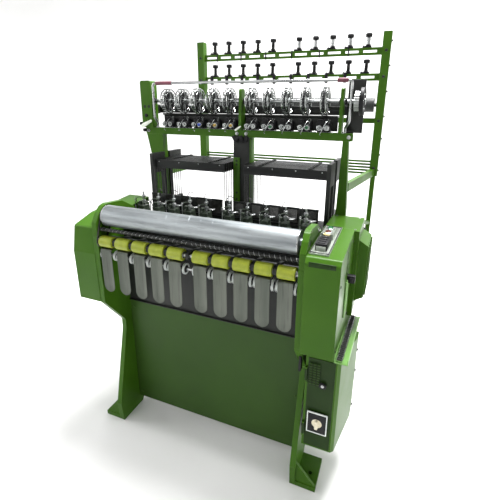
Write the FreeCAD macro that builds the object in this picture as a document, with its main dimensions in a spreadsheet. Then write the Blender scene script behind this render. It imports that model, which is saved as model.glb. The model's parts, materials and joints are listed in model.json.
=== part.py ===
import FreeCAD, Part
import Sketcher
import math
import os
import re

# Ten-head narrow-fabric needle loom, in millimetres.
# +Z is up, +X is the machine's right seen from its front, +Y points to its back.
# The origin is on the floor, in the middle of the four foot bolts.
# Depths are counted back from the axis of the fabric delivery rollers and then
# shifted by front_y, so every "depth" below is a distance behind that axis.
# A number in SIZES is set by itself. A text there is worked out from other sizes.

HEADS_PER_SIDE = 5
HEALD_SHAFTS = 12
WHEEL_WINDOWS = 7

SIZES = {
    # places of the heads across the machine
    "head_pitch": 86, "centre_gap": 114, "front_y": -460,
    # side frames and feet
    "end_margin": 43, "frame_in": "centre_gap / 2 + 4 * head_pitch + end_margin",
    "frame_thick": 24, "frame_out": "frame_in + frame_thick", "frame_front": -16,
    "frame_back": "guide_back + 22", "frame_top": 1020, "shoulder_z": "frame_top - 320",
    "shoulder_deep": 150,
    "leg_top_z": "shoulder_z - 140", "shoulder_deep": 150, "leg_depth": 98, "arch_top": 170, "foot_width": 88,
    "foot_length": 150, "foot_thick": 22, "foot_bolt_depth": 78, "foot_bolt_x": "frame_out + 52",
    "foot_bolt_bore": 18, "gusset_high": 98, "rib_thick": 12, "shaft_fit": 0.05,
    # front apron and inner structure
    "apron_depth": 145, "apron_low": 53, "apron_top": "frame_top - 120", "sheet": 3,
    "apron_fold": 40, "tube_radius": 30, "tube_wall": 4, "low_tube_z": 250,
    "front_tube_depth": 200, "rear_tube_depth": 580, "high_tube_depth": 620,
    "high_tube_z": "frame_top - 120", "shelf_z": 180, "shelf_thick": 8, "shelf_front": 300,
    "shelf_back": 548,
    # drive
    "drive_depth": 420, "motor_axis_z": 298, "motor_radius": 85, "motor_left": "pulley_x - 305",
    "motor_right": "motor_left + 230", "motor_shaft_radius": 14, "motor_pulley_radius": 45,
    "main_shaft_z": 560, "main_shaft_radius": 20, "main_pulley_radius": 105,
    "pulley_x": "frame_in - 99", "belt_width": 14, "belt_thick": 6, "belt_gap": 0.4,
    "flange_rise": 8, "flange_thick": 4,
    # covers
    "cover_wall": 2.5, "cover_width": 122, "cover_low": "shoulder_z + 2", "left_cover_front": -18,
    "left_crease_z": "frame_top - 85", "left_nose_z": "frame_top + 30", "left_cover_back": 380,
    "left_back_z": "frame_top + 90", "right_cover_front": -30, "right_nose_z": "frame_top + 58",
    "right_cover_back": 300, "right_back_z": "frame_top + 72", "cover_round": 14,
    "grip_depth": 130, "grip_z": "frame_top - 65", "grip_length": 30, "grip_high": 48,
    "housing_back": 512, "housing_top": "frame_top + 66", "housing_width": 142, "bulge_width": 38,
    "bulge_front": 330, "bulge_back": 500, "bulge_low": "frame_top - 260",
    "bulge_top": "frame_top + 20", "drum_depth": 400, "drum_z": "frame_top - 160",
    "drum_radius": 46, "drum_shaft_radius": 12, "tray_front": -9, "tray_back": 458,
    "tray_z": "cover_low - 20", "tray_drop": 72, "tray_wide": 50, "tray_high": 22,
    # control panel
    "panel_x": "frame_out + 4", "panel_wide": 70, "panel_front": 6, "panel_back": 292,
    "panel_thick": 6, "button_radius": 11, "button_rise": 6, "button_deep": 12, "button_fit": 0.1,
    "start_depth": 214, "stop_depth": 166, "bezel_high": 20, "bezel_wide": 44,
    # electrical cabinet
    "cabinet_in": "frame_out + 16", "cabinet_front": 20, "cabinet_back": 300, "cabinet_low": 235,
    "cabinet_corner": "frame_out + 134", "cabinet_out": "frame_out + 182", "flare_depth": 240,
    "cabinet_wall": 2, "door_left": "cabinet_in + 10", "door_right": "cabinet_corner - 6",
    "door_low": 244, "door_top": "tray_z - 22", "door_thick": 2, "door_gap": 0.4,
    "hinge_x": "door_left - 6", "pin_radius": 3, "barrel_radius": 5.5, "barrel_long": 50,
    "low_hinge_z": 300, "high_hinge_z": "door_top - 100", "switch_x": "door_left + 49",
    "switch_z": 372, "switch_plate": 70, "switch_plate_high": 88, "knob_radius": 21,
    "knob_long": 20, "knob_stem_radius": 5,
    # cheeks, rollers and chutes at the front
    "cheek_in": "frame_in + 1", "take_up_depth": 48, "take_up_z": "frame_top + 80",
    "take_up_radius": 46, "take_up_half": "frame_in - 12", "take_up_shaft_radius": 15,
    "chain_x": "3 - frame_in", "chain_wide": 6, "chain_thick": 4, "take_up_sprocket_radius": 33,
    "delivery_sprocket_radius": 20, "delivery_z": "frame_top - 22", "delivery_radius": 25,
    "delivery_width": 66, "delivery_shaft_radius": 9, "guide_rod_depth": 10,
    "guide_rod_z": "frame_top + 27", "guide_rod_radius": 8, "hanger_bar_depth": 70,
    "hanger_bar_z": "delivery_z - 13", "hanger_bar_radius": 12, "hanger_thick": 14,
    "chute_front": -19, "chute_sheet": 2, "chute_wide": 57, "chute_top": "delivery_z - 30",
    "chute_low": "chute_top - 199", "rail_depth": 46, "rail_deep": 12, "rail_high": 16,
    "ring_depth": 8, "ring_z": "delivery_z - 62", "ring_radius": 23, "ring_wide": 8,
    "ring_offset": 34, "ring_shaft_radius": 7,
    # weaving heads
    "beam_front": 175, "beam_back": 285, "beam_low": "frame_top - 70", "beam_wall": 8,
    "head_base_wide": 62, "head_base_high": 25, "head_front": 168, "head_back": 290,
    "needle_shift": -4, "needle_depth": 262, "needle_radius": 4, "needle_top": "frame_top + 146",
    "tower_wide": 26, "tower_deep": 44, "tower_top": "frame_top + 80", "arm_z": "tower_top + 12",
    "arm_high": 14, "hub_radius": 9, "arm_long": 40, "arm_wide": 8, "latch_front": 138,
    "latch_deep": 16, "latch_z": "frame_top + 36", "latch_high": 14,
    "latch_half": "frame_in - 20", "latch_radius": 1.6, "latch_tip": 280, "latch_shift": 16.2,
    # reed batten
    "batten_axis_depth": 400, "batten_axis_z": "frame_top - 305", "batten_shaft_radius": 12,
    "batten_front": 345, "batten_deep": 30, "batten_z": "frame_top + 20", "batten_high": 26,
    "batten_half": "frame_in - 20", "sword_x": "frame_in - 64", "sword_thick": 14,
    "reed_depth": 356, "reed_thick": 7, "reed_wide": 54, "reed_high": 75,
    # heald frames
    "heald_front": 424, "heald_pitch": 20, "heald_thick": 9, "heald_in": 50, "rest_gap": 0.3,
    "heald_low": "frame_top - 35", "heald_top": "heald_low + 315", "heald_rail": 20,
    "heald_head": 42, "heald_stile": 3, "stile_thick": 2, "guide_thick": 18,
    "guide_top": "heald_top + 30",
    "guide_post": 20, "comb_low_top": "frame_top + 50", "comb_high_low": "heald_top - 70", "guide_front": 405,
    "guide_back": "heald_front + 11 * heald_pitch + heald_thick + 15",
    # gantry
    "gantry_depth": 514, "gantry_deep": 40, "gantry_z": "frame_top + 400", "gantry_high": 34,
    "gantry_left": "-frame_out - 87", "gantry_right": "frame_out + 54", "gantry_wall": 4,
    "post_foot_z": "frame_top - 120", "left_post_in": "-frame_in - 9",
    "left_post_out": "-frame_out - 84", "left_post_waist": "-frame_out - 56",
    "left_waist_z": "gantry_z - 140", "left_post_root": "-frame_out - 38",
    "right_post_in": "frame_out + 15", "right_post_out": "frame_out + 40",
    "right_root_in": "frame_out + 9", "right_root_out": "frame_out + 54",
    "right_root_z": "frame_top + 95", "column_half": 42, "column_deep": 60,
    "column_low": "frame_top + 20",
    # yarn feeder
    "feeder_depth": 521, "feeder_z": "gantry_z + 166", "feeder_shaft_radius": 8,
    "wheel_radius": 60, "wheel_gap": 18, "rim_thick": 3, "wheel_hub": 16, "window_radius": 13,
    "window_circle": 38, "wheel_shift": -6, "end_plate_left": "-frame_out - 92",
    "end_plate_wide": 65, "end_plate_top": "gantry_z + 264", "bracket_front": 495,
    "bracket_deep": 52, "bracket_top": "gantry_z + 220", "centre_bracket": 14,
    "right_bracket_x": "frame_out - 6", "bracket_thick": 14, "feeder_pulley_x": "frame_out + 52",
    "feeder_pulley_radius": 38, "feeder_pulley_wide": 22, "feeder_end": "frame_out + 80",
    "brake_wide": 58, "brake_high": 44, "brake_front": 517, "brake_deep": 30, "brake_roller": 13,
    "brake_roller_long": 22, "guard_radius": 6, "guard_depth": 500, "guard_foot_depth": 524,
    "guard_top": "gantry_z + 250", "guard_left": "-frame_out - 16",
    "guard_right": "frame_out + 38", "guard_right_foot": "frame_out + 20",
    "guard_bend_z": "gantry_z + 85", "guard_foot_z": "gantry_z + 56", "guard_bend": 14,
    # rear yarn rack
    "rack_depth": 1045, "rack_post": 44, "rack_left": "-frame_out - 65",
    "rack_right": "frame_out + 103", "rack_top": "gantry_z + 524", "rack_foot": "gantry_z - 230",
    "stay_post": 26, "stay_low": "rack_foot - 350", "arm_deep_high": 40,
    "upper_bar_z": "rack_top - 72", "lower_bar_z": "rack_top - 201", "bar_high": 38,
    "bar_thick": 8, "slot_pitch": 95, "slot_wide": 70, "slot_high": 12,
    "knob_left": "rack_left + 115", "knob_right": "knob_left + 536", "knob_pitch": 95,
    "knob_plate": 46, "knob_plate_deep": 22, "knob_plate_high": 4, "knob_post_radius": 3.5,
    "knob_post_high": 62, "knob_spring_radius": 8, "knob_spring_high": 24, "knob_cap_radius": 17,
    "knob_cap_high": 11, "back_roller_z": "gantry_z + 160", "back_roller_radius": 38,
    "journal_radius": 10, "journal_long": 20, "ledge_z": "gantry_z + 62", "ledge_high": 28,
    "rod_radius": 6, "rod_z": "rack_foot + 12", "rod_rise": 17, "stay_tube_radius": 13,
    "stay_front_z": "frame_top + 20", "stay_back_z": "stay_front_z - 135",
}

doc = FreeCAD.newDocument("needle_loom")
sheet = doc.addObject("Spreadsheet::Sheet", "Sizes")
for row, alias in enumerate(SIZES, start=1):
    sheet.set("A%d" % row, alias)
    sheet.setAlias("B%d" % row, alias)
for row, content in enumerate(SIZES.values(), start=1):
    sheet.set("B%d" % row, "=%s" % content)
doc.recompute()

NODES = []


# ---------------------------------------------------------------- building tools

def bound(text):
    """Turn the size names in an expression into references to the sheet."""
    return re.sub(r"[a-z][a-z_]*", lambda word: "Sizes." + word.group(0)
                  if word.group(0) in SIZES else word.group(0), str(text))


def size(alias):
    """The number a sheet cell holds now."""
    return float(sheet.get(alias))


def depth_y(text):
    """The Y of a depth behind the delivery roller axis."""
    return "front_y + (%s)" % text


def bind(item, **expressions):
    for prop, text in expressions.items():
        item.setExpression(prop.replace("__", "."), bound(text))
    return item


def place(item, x, y, z):
    item.setExpression("Placement.Base.x", bound(x))
    item.setExpression("Placement.Base.y", bound(y))
    item.setExpression("Placement.Base.z", bound(z))
    return item


def box(name, x, depth, z):
    """A block between two planes on each axis."""
    block = doc.addObject("Part::Box", name)
    bind(block, Length="(%s) - (%s)" % (x[1], x[0]),
         Width="(%s) - (%s)" % (depth[1], depth[0]),
         Height="(%s) - (%s)" % (z[1], z[0]))
    return place(block, x[0], depth_y(depth[0]), z[0])


TURNS = {
    "x": FreeCAD.Rotation(FreeCAD.Vector(0, 1, 0), 90),
    "y": FreeCAD.Rotation(FreeCAD.Vector(1, 0, 0), -90),
    "z": FreeCAD.Rotation(),
}


def rod(name, axis, centre, span, radius):
    """A round bar along one axis; centre holds its two other coordinates."""
    bar = doc.addObject("Part::Cylinder", name)
    bar.Placement = FreeCAD.Placement(FreeCAD.Vector(), TURNS[axis])
    bind(bar, Radius=radius, Height="(%s) - (%s)" % (span[1], span[0]))
    if axis == "x":
        return place(bar, span[0], depth_y(centre[0]), centre[1])
    if axis == "y":
        return place(bar, centre[0], depth_y(span[0]), centre[1])
    return place(bar, centre[0], depth_y(centre[1]), span[0])


def bar_through(name, axis, centre, span, radius, bore):
    """A round bar with a hole along its axis."""
    outer = rod(name + "_outer", axis, centre, span, radius)
    inner = rod(name + "_bore", axis, centre, span, bore)
    return cut(name, outer, [inner])


PLANES = {"x": "YZ_Plane", "y": "XZ_Plane", "z": "XY_Plane"}


def prism(name, axis, points, span, rounds=None):
    """A sketched outline padded along one axis, with some corners rounded.

    Points are (depth, z) for an outline along X, (x, z) along Y, (x, depth) along Z.
    """
    body = doc.addObject("PartDesign::Body", name)
    doc.recompute()
    plane = [item for item in body.Origin.OriginFeatures if item.Role == PLANES[axis]][0]
    sketch = body.newObject("Sketcher::SketchObject", name + "_outline")
    sketch.AttachmentSupport = [(plane, "")]
    sketch.MapMode = "FlatFace"
    count = len(points)
    corners = [FreeCAD.Vector(math.cos(2 * math.pi * turn / count),
                              math.sin(2 * math.pi * turn / count), 0) for turn in range(count)]
    for turn in range(count):
        sketch.addGeometry(Part.LineSegment(corners[turn], corners[(turn + 1) % count]), False)
    for turn in range(count):
        sketch.addConstraint(Sketcher.Constraint("Coincident", turn, 2, (turn + 1) % count, 1))
    for turn, (first, second) in enumerate(points):
        if axis == "x":
            first = depth_y(first)
        if axis == "z":
            second = depth_y(second)
        for kind, text in (("DistanceX", first), ("DistanceY", second)):
            at = sketch.addConstraint(Sketcher.Constraint(kind, -1, 1, turn, 1, 1.0))
            sketch.setExpression("Constraints[%d]" % at, bound(text))
    pad = body.newObject("PartDesign::Pad", name + "_pad")
    pad.Profile = sketch
    bind(pad, Length="(%s) - (%s)" % (span[1], span[0]))
    if axis == "y":
        pad.Reversed = True
        body.setExpression("Placement.Base.y", bound(depth_y(span[0])))
    else:
        body.setExpression("Placement.Base." + axis, bound(span[0]))
    for radius, turns in (rounds or {}).items():
        round_corners(body, sketch, axis, turns, radius)
    return body


def round_corners(body, sketch, axis, turns, radius):
    """Fillet the edges that rise from the outline's corners."""
    doc.recompute()
    base = body.Tip
    spots = [sketch.Placement.multVec(sketch.Geometry[turn].StartPoint) for turn in turns]
    direction = {"x": FreeCAD.Vector(1, 0, 0), "y": FreeCAD.Vector(0, 1, 0),
                 "z": FreeCAD.Vector(0, 0, 1)}[axis]
    edges = []
    for number, edge in enumerate(base.Shape.Edges, start=1):
        along = edge.Vertexes[-1].Point - edge.Vertexes[0].Point
        if len(edge.Vertexes) < 2 or along.cross(direction).Length > 1e-4:
            continue
        for spot in spots:
            if (edge.Vertexes[0].Point - spot).cross(direction).Length < 1e-3:
                edges.append("Edge%d" % number)
    fillet = body.newObject("PartDesign::Fillet", body.Name + "_round")
    fillet.Base = (base, edges)
    bind(fillet, Radius=radius)
    body.Tip = fillet


def fuse(name, parts):
    joined = doc.addObject("Part::MultiFuse", name)
    joined.Shapes = parts
    joined.Refine = True
    return joined


def cut(name, base, tools):
    tool = tools[0]
    if len(tools) > 1:
        tool = doc.addObject("Part::MultiFuse", name + "_tools")
        tool.Shapes = tools
    result = doc.addObject("Part::Cut", name)
    result.Base = base
    result.Tool = tool
    return result


def group(name, parts):
    """Separate solids that share one node."""
    gathered = doc.addObject("Part::Compound", name)
    gathered.Links = parts
    return gathered


def copies(name, template, shifts):
    """Copies of one solid, each moved by an (x, y, z) of expressions."""
    made = []
    for number, shift in enumerate(shifts, start=1):
        link = doc.addObject("App::Link", "%s_%02d" % (name, number))
        link.LinkedObject = template
        link.LinkTransform = True
        made.append(place(link, *shift))
    return made


def mirrored(name, source):
    """The same piece on the other side of the machine."""
    twin = doc.addObject("Part::Mirroring", name)
    twin.Source = source
    twin.Normal = FreeCAD.Vector(1, 0, 0)
    return twin


def shaped(name, shape):
    feature = doc.addObject("Part::Feature", name)
    feature.Shape = shape
    return feature


def node(name, item):
    item.Label = name
    NODES.append((name, item))
    return item


def head_places():
    """The X of each head from left to right."""
    left = ["-centre_gap / 2 - %d * head_pitch" % step for step in reversed(range(HEADS_PER_SIDE))]
    right = ["centre_gap / 2 + %d * head_pitch" % step for step in range(HEADS_PER_SIDE)]
    return left + right


def at_heads(name, template):
    """Ten copies of a piece that was made at X = 0."""
    return copies(name, template, [(place_x, "0", "0") for place_x in head_places()])


def loop_strap(lower, lower_radius, upper, upper_radius, thick, x_low, x_high):
    """A belt or chain round two wheels, lying in the plane across X."""
    def outline(grow):
        first = FreeCAD.Vector(0, lower[0], lower[1])
        second = FreeCAD.Vector(0, upper[0], upper[1])
        along = second - first
        lean = math.asin((upper_radius - lower_radius) / along.Length)
        along.normalize()
        across = FreeCAD.Vector(0, along.z, -along.y)
        right = across * math.cos(lean) - along * math.sin(lean)
        left = across * -math.cos(lean) - along * math.sin(lean)
        small, large = lower_radius + grow, upper_radius + grow
        marks = [first + right * small, second + right * large, second + along * large,
                 second + left * large, first + left * small, first - along * small]
        edges = [Part.makeLine(marks[0], marks[1]),
                 Part.Arc(marks[1], marks[2], marks[3]).toShape(),
                 Part.makeLine(marks[3], marks[4]),
                 Part.Arc(marks[4], marks[5], marks[0]).toShape()]
        return Part.Face(Part.Wire(edges))
    ring = outline(thick).cut(outline(0)).Faces[0]
    ring.translate(FreeCAD.Vector(x_low, 0, 0))
    return ring.extrude(FreeCAD.Vector(x_high - x_low, 0, 0))


def bent_tube(points, radius, bend):
    """A round tube along straight runs joined by arcs of one radius."""
    corners = [FreeCAD.Vector(*point) for point in points]
    edges = []
    start = corners[0]
    for before, corner, after in zip(corners, corners[1:], corners[2:]):
        back = (before - corner).normalize()
        ahead = (after - corner).normalize()
        half = back.getAngle(ahead) / 2
        reach = bend / math.tan(half)
        enter = corner + back * reach
        leave = corner + ahead * reach
        middle_line = (back + ahead).normalize()
        middle = corner + middle_line * (bend / math.sin(half) - bend)
        edges.append(Part.makeLine(start, enter))
        edges.append(Part.Arc(enter, middle, leave).toShape())
        start = leave
    edges.append(Part.makeLine(start, corners[-1]))
    path = Part.Wire(edges)
    ring = Part.Wire([Part.makeCircle(radius, corners[0], corners[1] - corners[0])])
    return path.makePipeShell([ring], True, False)


FRAME_OUT = "frame_out"
FOOT_OUT = "(frame_out + foot_width)"
REAR_BOLT = "(-2 * front_y - foot_bolt_depth)"


# ---------------------------------------------------------------- frame and drive

def side_frames():
    heel = "(foot_bolt_depth - 63)"
    toe_back = "(foot_bolt_depth - 63 + foot_length)"
    rear_back = "(%s + 63)" % REAR_BOLT
    rear_front = "(%s + 63 - foot_length)" % REAR_BOLT
    web = prism("side_web", "x", [
        (heel, "0"), (heel + " - 10", "110"), ("leg_depth", "leg_top_z - 60"),
        ("leg_depth", "shoulder_z - shoulder_deep"), ("frame_front", "shoulder_z"),
        ("frame_front", "frame_top"), ("frame_back", "frame_top"),
        ("frame_back", "leg_top_z"), (rear_back + " - 20", "110"), (rear_back, "0"),
        (rear_front, "0"), (rear_front + " - 70", "arch_top"),
        (toe_back + " + 120", "arch_top"), (toe_back, "0")],
        ("frame_in", FRAME_OUT),
        {"60": [2, 7, 11, 12], "24": [3, 4]})
    parts = [web]
    for name, low, high in (("front", heel, toe_back), ("rear", rear_front, rear_back)):
        parts.append(box(name + "_foot", (FRAME_OUT, FOOT_OUT), (low, high),
                         ("0", "foot_thick")))
    for name, low in (("front", heel + " + 4"), ("rear", rear_back + " - 4 - rib_thick")):
        parts.append(prism(name + "_gusset", "y", [
            (FRAME_OUT, "foot_thick"), (FOOT_OUT + " - 4", "foot_thick"),
            (FRAME_OUT, "foot_thick + gusset_high")], (low, low + " + rib_thick")))
    solid = fuse("side_casting", parts)
    bores = [
        rod("bolt_bore_front", "z", ("foot_bolt_x", "foot_bolt_depth"),
            ("-1", "foot_thick + 1"), "foot_bolt_bore / 2"),
        rod("bolt_bore_rear", "z", ("foot_bolt_x", REAR_BOLT),
            ("-1", "foot_thick + 1"), "foot_bolt_bore / 2"),
    ]
    for name, centre, radius in (
            ("main", ("drive_depth", "main_shaft_z"), "main_shaft_radius"),
            ("batten", ("batten_axis_depth", "batten_axis_z"), "batten_shaft_radius"),
            ("delivery", ("0", "delivery_z"), "delivery_shaft_radius"),
            ("ring", ("ring_depth", "ring_z"), "ring_shaft_radius"),
            ("drum", ("drum_depth", "drum_z"), "drum_shaft_radius")):
        bores.append(rod(name + "_bore", "x", centre, ("frame_in - 1", FRAME_OUT + " + 1"),
                         radius + " + shaft_fit"))
    right = node("side_frame_right", cut("side_right", solid, bores))
    node("side_frame_left", mirrored("side_left", right))


def inner_structure():
    fold = "apron_depth + apron_fold"
    inner = "apron_depth + sheet"
    node("front_apron", prism("apron", "x", [
        ("apron_depth", "apron_low"), (fold, "apron_low"), (fold, "apron_low + sheet"),
        (inner, "apron_low + sheet"), (inner, "apron_top - sheet"),
        (fold, "apron_top - sheet"), (fold, "apron_top"), ("apron_depth", "apron_top")],
        ("-frame_in", "frame_in")))
    tubes = []
    for name, centre in (("low_front", ("front_tube_depth", "low_tube_z")),
                         ("low_rear", ("rear_tube_depth", "low_tube_z")),
                         ("high_rear", ("high_tube_depth", "high_tube_z"))):
        tubes.append(bar_through(name + "_tube", "x", centre, ("-frame_in", "frame_in"),
                                 "tube_radius", "tube_radius - tube_wall"))
    node("cross_tubes", group("tubes", tubes))
    node("motor_shelf", box("shelf", ("-frame_in", "frame_in"), ("shelf_front", "shelf_back"),
                            ("shelf_z", "shelf_z + shelf_thick")))


def pulley(name, x, centre, radius, shaft_parts):
    """A flanged belt wheel fused to its shaft."""
    half = "(belt_width / 2 + 1)"
    parts = list(shaft_parts)
    parts.append(rod(name + "_wheel", "x", centre, ("%s - %s" % (x, half), "%s + %s" % (x, half)),
                     radius))
    for side, low in (("left", "%s - %s - flange_thick" % (x, half)),
                      ("right", "%s + %s" % (x, half))):
        parts.append(rod("%s_flange_%s" % (name, side), "x", centre,
                         (low, low + " + flange_thick"), radius + " + flange_rise"))
    return fuse(name, parts)


def drive():
    axis = ("drive_depth", "motor_axis_z")
    shelf_top = "shelf_z + shelf_thick"
    barrel = rod("motor_barrel", "x", axis, ("motor_left", "motor_right"), "motor_radius")
    foot = box("motor_foot", ("motor_left + 40", "motor_right - 40"),
               ("drive_depth - 90", "drive_depth + 90"), (shelf_top, shelf_top + " + 32"))
    terminals = box("motor_terminals", ("motor_left + 80", "motor_left + 160"),
                    ("drive_depth - 35", "drive_depth + 35"),
                    ("motor_axis_z + motor_radius - 10", "motor_axis_z + motor_radius + 34"))
    fins = [rod("motor_fin_%d" % step, "x", axis,
                ("motor_left + %d" % (30 + 22 * step), "motor_left + %d" % (36 + 22 * step)),
                "motor_radius + 6") for step in range(8)]
    bore = rod("motor_bore", "x", axis, ("motor_right - 30", "motor_right + 1"),
               "motor_shaft_radius + shaft_fit")
    node("drive_motor", cut("motor", fuse("motor_solid", [barrel, foot, terminals] + fins), [bore]))
    spindle = rod("motor_spindle", "x", axis, ("motor_right - 28", "pulley_x + 18"),
                  "motor_shaft_radius")
    node("motor_pulley", pulley("motor_wheel", "pulley_x", axis, "motor_pulley_radius", [spindle]))
    main_axis = ("drive_depth", "main_shaft_z")
    shaft = rod("main_rod", "x", main_axis, ("-%s - 20" % FRAME_OUT, FRAME_OUT + " + 12"),
                "main_shaft_radius")
    node("main_shaft", pulley("main_wheel", "pulley_x", main_axis, "main_pulley_radius", [shaft]))
    lower = (size("front_y") + size("drive_depth"), size("motor_axis_z"))
    upper = (size("front_y") + size("drive_depth"), size("main_shaft_z"))
    half_belt = size("belt_width") / 2
    belt = loop_strap(lower, size("motor_pulley_radius") + size("belt_gap"),
                      upper, size("main_pulley_radius") + size("belt_gap"),
                      size("belt_thick"), size("pulley_x") - half_belt,
                      size("pulley_x") + half_belt)
    node("drive_belt", shaped("belt", belt))


# ---------------------------------------------------------------- covers and cabinet

def shell(name, outer, inner, span, open_low, rounds):
    """A folded cover: an outline padded along X and hollowed towards the frame."""
    skin = prism(name + "_skin", "x", outer, span, rounds)
    hollow = prism(name + "_hollow", "x", inner, open_low)
    return cut(name, skin, [hollow])


def left_cover():
    wall = "cover_wall"
    outer = [("left_cover_front", "cover_low"), ("left_cover_front", "left_crease_z"),
             ("left_cover_front + 23", "left_nose_z"), ("110", "left_nose_z + 33"),
             ("left_cover_back", "left_back_z"), ("left_cover_back", "cover_low")]
    inner = [("left_cover_front + " + wall, "cover_low - 1"),
             ("left_cover_front + " + wall, "left_crease_z"),
             ("left_cover_front + 25", "left_nose_z - 2"), ("110", "left_nose_z + 30"),
             ("left_cover_back - " + wall, "left_back_z - 3"),
             ("left_cover_back - " + wall, "cover_low - 1")]
    far = "(-%s - cover_width)" % FRAME_OUT
    near = "-%s" % FRAME_OUT
    node("left_cover", shell("left_casing", outer, inner, (far, near),
                             (far + " + cover_wall", near + " + 1"),
                             {"cover_round": [1, 2, 3]}))


def right_cover():
    wall = "cover_wall"
    outer = [("right_cover_front", "cover_low"), ("right_cover_front", "right_nose_z - 18"),
             ("right_cover_front + 18", "right_nose_z"), ("right_cover_back", "right_back_z"),
             ("right_cover_back", "cover_low")]
    inner = [("right_cover_front + " + wall, "cover_low - 1"),
             ("right_cover_front + " + wall, "right_nose_z - 19"),
             ("right_cover_front + 19", "right_nose_z - 2.5"),
             ("right_cover_back - " + wall, "right_back_z - 2.5"),
             ("right_cover_back - " + wall, "cover_low - 1")]
    far = "(%s + cover_width)" % FRAME_OUT
    casing = shell("right_casing", outer, inner, (FRAME_OUT, far),
                   (FRAME_OUT + " - 1", far + " - cover_wall"), {"cover_round": [1, 2]})
    grip = box("grip_hole", (far + " - cover_wall - 1", far + " + 1"),
               ("grip_depth", "grip_depth + grip_length"), ("grip_z", "grip_z + grip_high"))
    node("right_cover", cut("right_casing_open", casing, [grip]))


def pattern_unit():
    front = "right_cover_back"
    far = "(%s + housing_width)" % FRAME_OUT
    outer = box("housing_outer", (FRAME_OUT, far), (front, "housing_back"),
                ("cover_low", "housing_top"))
    bulge = prism("housing_bulge", "y", [
        (far, "bulge_low"), (far + " + bulge_width", "bulge_low + 24"),
        (far + " + bulge_width", "bulge_top - 24"), (far, "bulge_top")],
        ("bulge_front", "bulge_back"))
    ribs = [box("housing_rib_%d" % step,
                (far, far + " + bulge_width + 6"),
                ("bulge_front + %d" % (14 + 34 * step), "bulge_front + %d" % (20 + 34 * step)),
                ("bulge_low + 30", "bulge_top - 30")) for step in range(5)]
    hollow = box("housing_hollow", (FRAME_OUT + " - 1", far + " - cover_wall"),
                 (front + " + cover_wall", "housing_back - cover_wall"),
                 ("cover_low - 1", "housing_top - cover_wall"))
    node("pattern_housing", cut("housing", fuse("housing_solid", [outer, bulge] + ribs), [hollow]))

    axis = ("drum_depth", "drum_z")
    spindle = rod("drum_spindle", "x", axis, ("frame_in + 4", FRAME_OUT + " + 126"),
                  "drum_shaft_radius")
    drum = rod("drum_barrel", "x", axis, (FRAME_OUT + " + 30", FRAME_OUT + " + 116"),
               "drum_radius")
    pegs = []
    for step in range(8):
        turn = math.radians(45 * step)
        pegs.append(rod("drum_peg_%d" % step, "x", (
            "drum_depth + drum_radius * %.6f" % math.cos(turn),
            "drum_z + drum_radius * %.6f" % math.sin(turn)),
            (FRAME_OUT + " + 26", FRAME_OUT + " + 120"), "5"))
    node("pattern_drum", fuse("drum", [spindle, drum] + pegs))

    side = "(%s + cover_width)" % FRAME_OUT
    low = "tray_z"
    end = "tray_z - tray_drop"
    channel = prism("tray_channel", "x", [
        ("tray_front", low), ("tray_front", low + " + tray_high"),
        ("tray_back", end + " + tray_high"), ("tray_back", end)],
        (side, side + " + tray_wide"))
    trough = prism("tray_trough", "x", [
        ("tray_front", low + " + 4"), ("tray_front", low + " + tray_high + 1"),
        ("tray_back", end + " + tray_high + 1"), ("tray_back", end + " + 4")],
        (side + " + sheet", side + " + tray_wide - sheet"))
    node("pattern_tray", cut("tray", channel, [trough]))


def control_panel():
    slope = "(right_back_z - right_nose_z) / (right_cover_back - right_cover_front - 18)"
    nose = "(right_cover_front + 18)"

    def top(at):
        return "(right_nose_z + %s * (%s - %s))" % (slope, at, nose)
    plate = prism("panel_plate", "x", [
        ("panel_front", top("panel_front")), ("panel_front", top("panel_front") + " + panel_thick"),
        ("panel_back", top("panel_back") + " + panel_thick"), ("panel_back", top("panel_back"))],
        ("panel_x", "panel_x + panel_wide"))
    middle = "(panel_x + panel_wide / 2)"
    bezel_top = "(right_back_z + bezel_high)"
    bezel = box("panel_bezel", (middle + " - bezel_wide / 2", middle + " + bezel_wide / 2"),
                ("stop_depth - 22", "start_depth + 22"), ("right_back_z - 2", bezel_top))
    gauge = box("panel_gauge", (middle + " - 17", middle + " + 17"),
                ("panel_front + 26", "panel_front + 116"),
                ("right_nose_z + 7", "right_nose_z + 24"))
    wells = [rod("well_" + name, "z", (middle, at), (bezel_top + " - button_deep - 4",
                                                     bezel_top + " + 1"),
                 "button_radius + button_fit")
             for name, at in (("start", "start_depth"), ("stop", "stop_depth"))]
    node("control_panel", cut("panel", fuse("panel_solid", [plate, bezel, gauge]), wells))
    for name, at in (("start", "start_depth"), ("stop", "stop_depth")):
        node(name + "_button", rod(name + "_cap", "z", (middle, at),
                                   (bezel_top + " - button_deep", bezel_top + " + button_rise"),
                                   "button_radius"))


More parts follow.
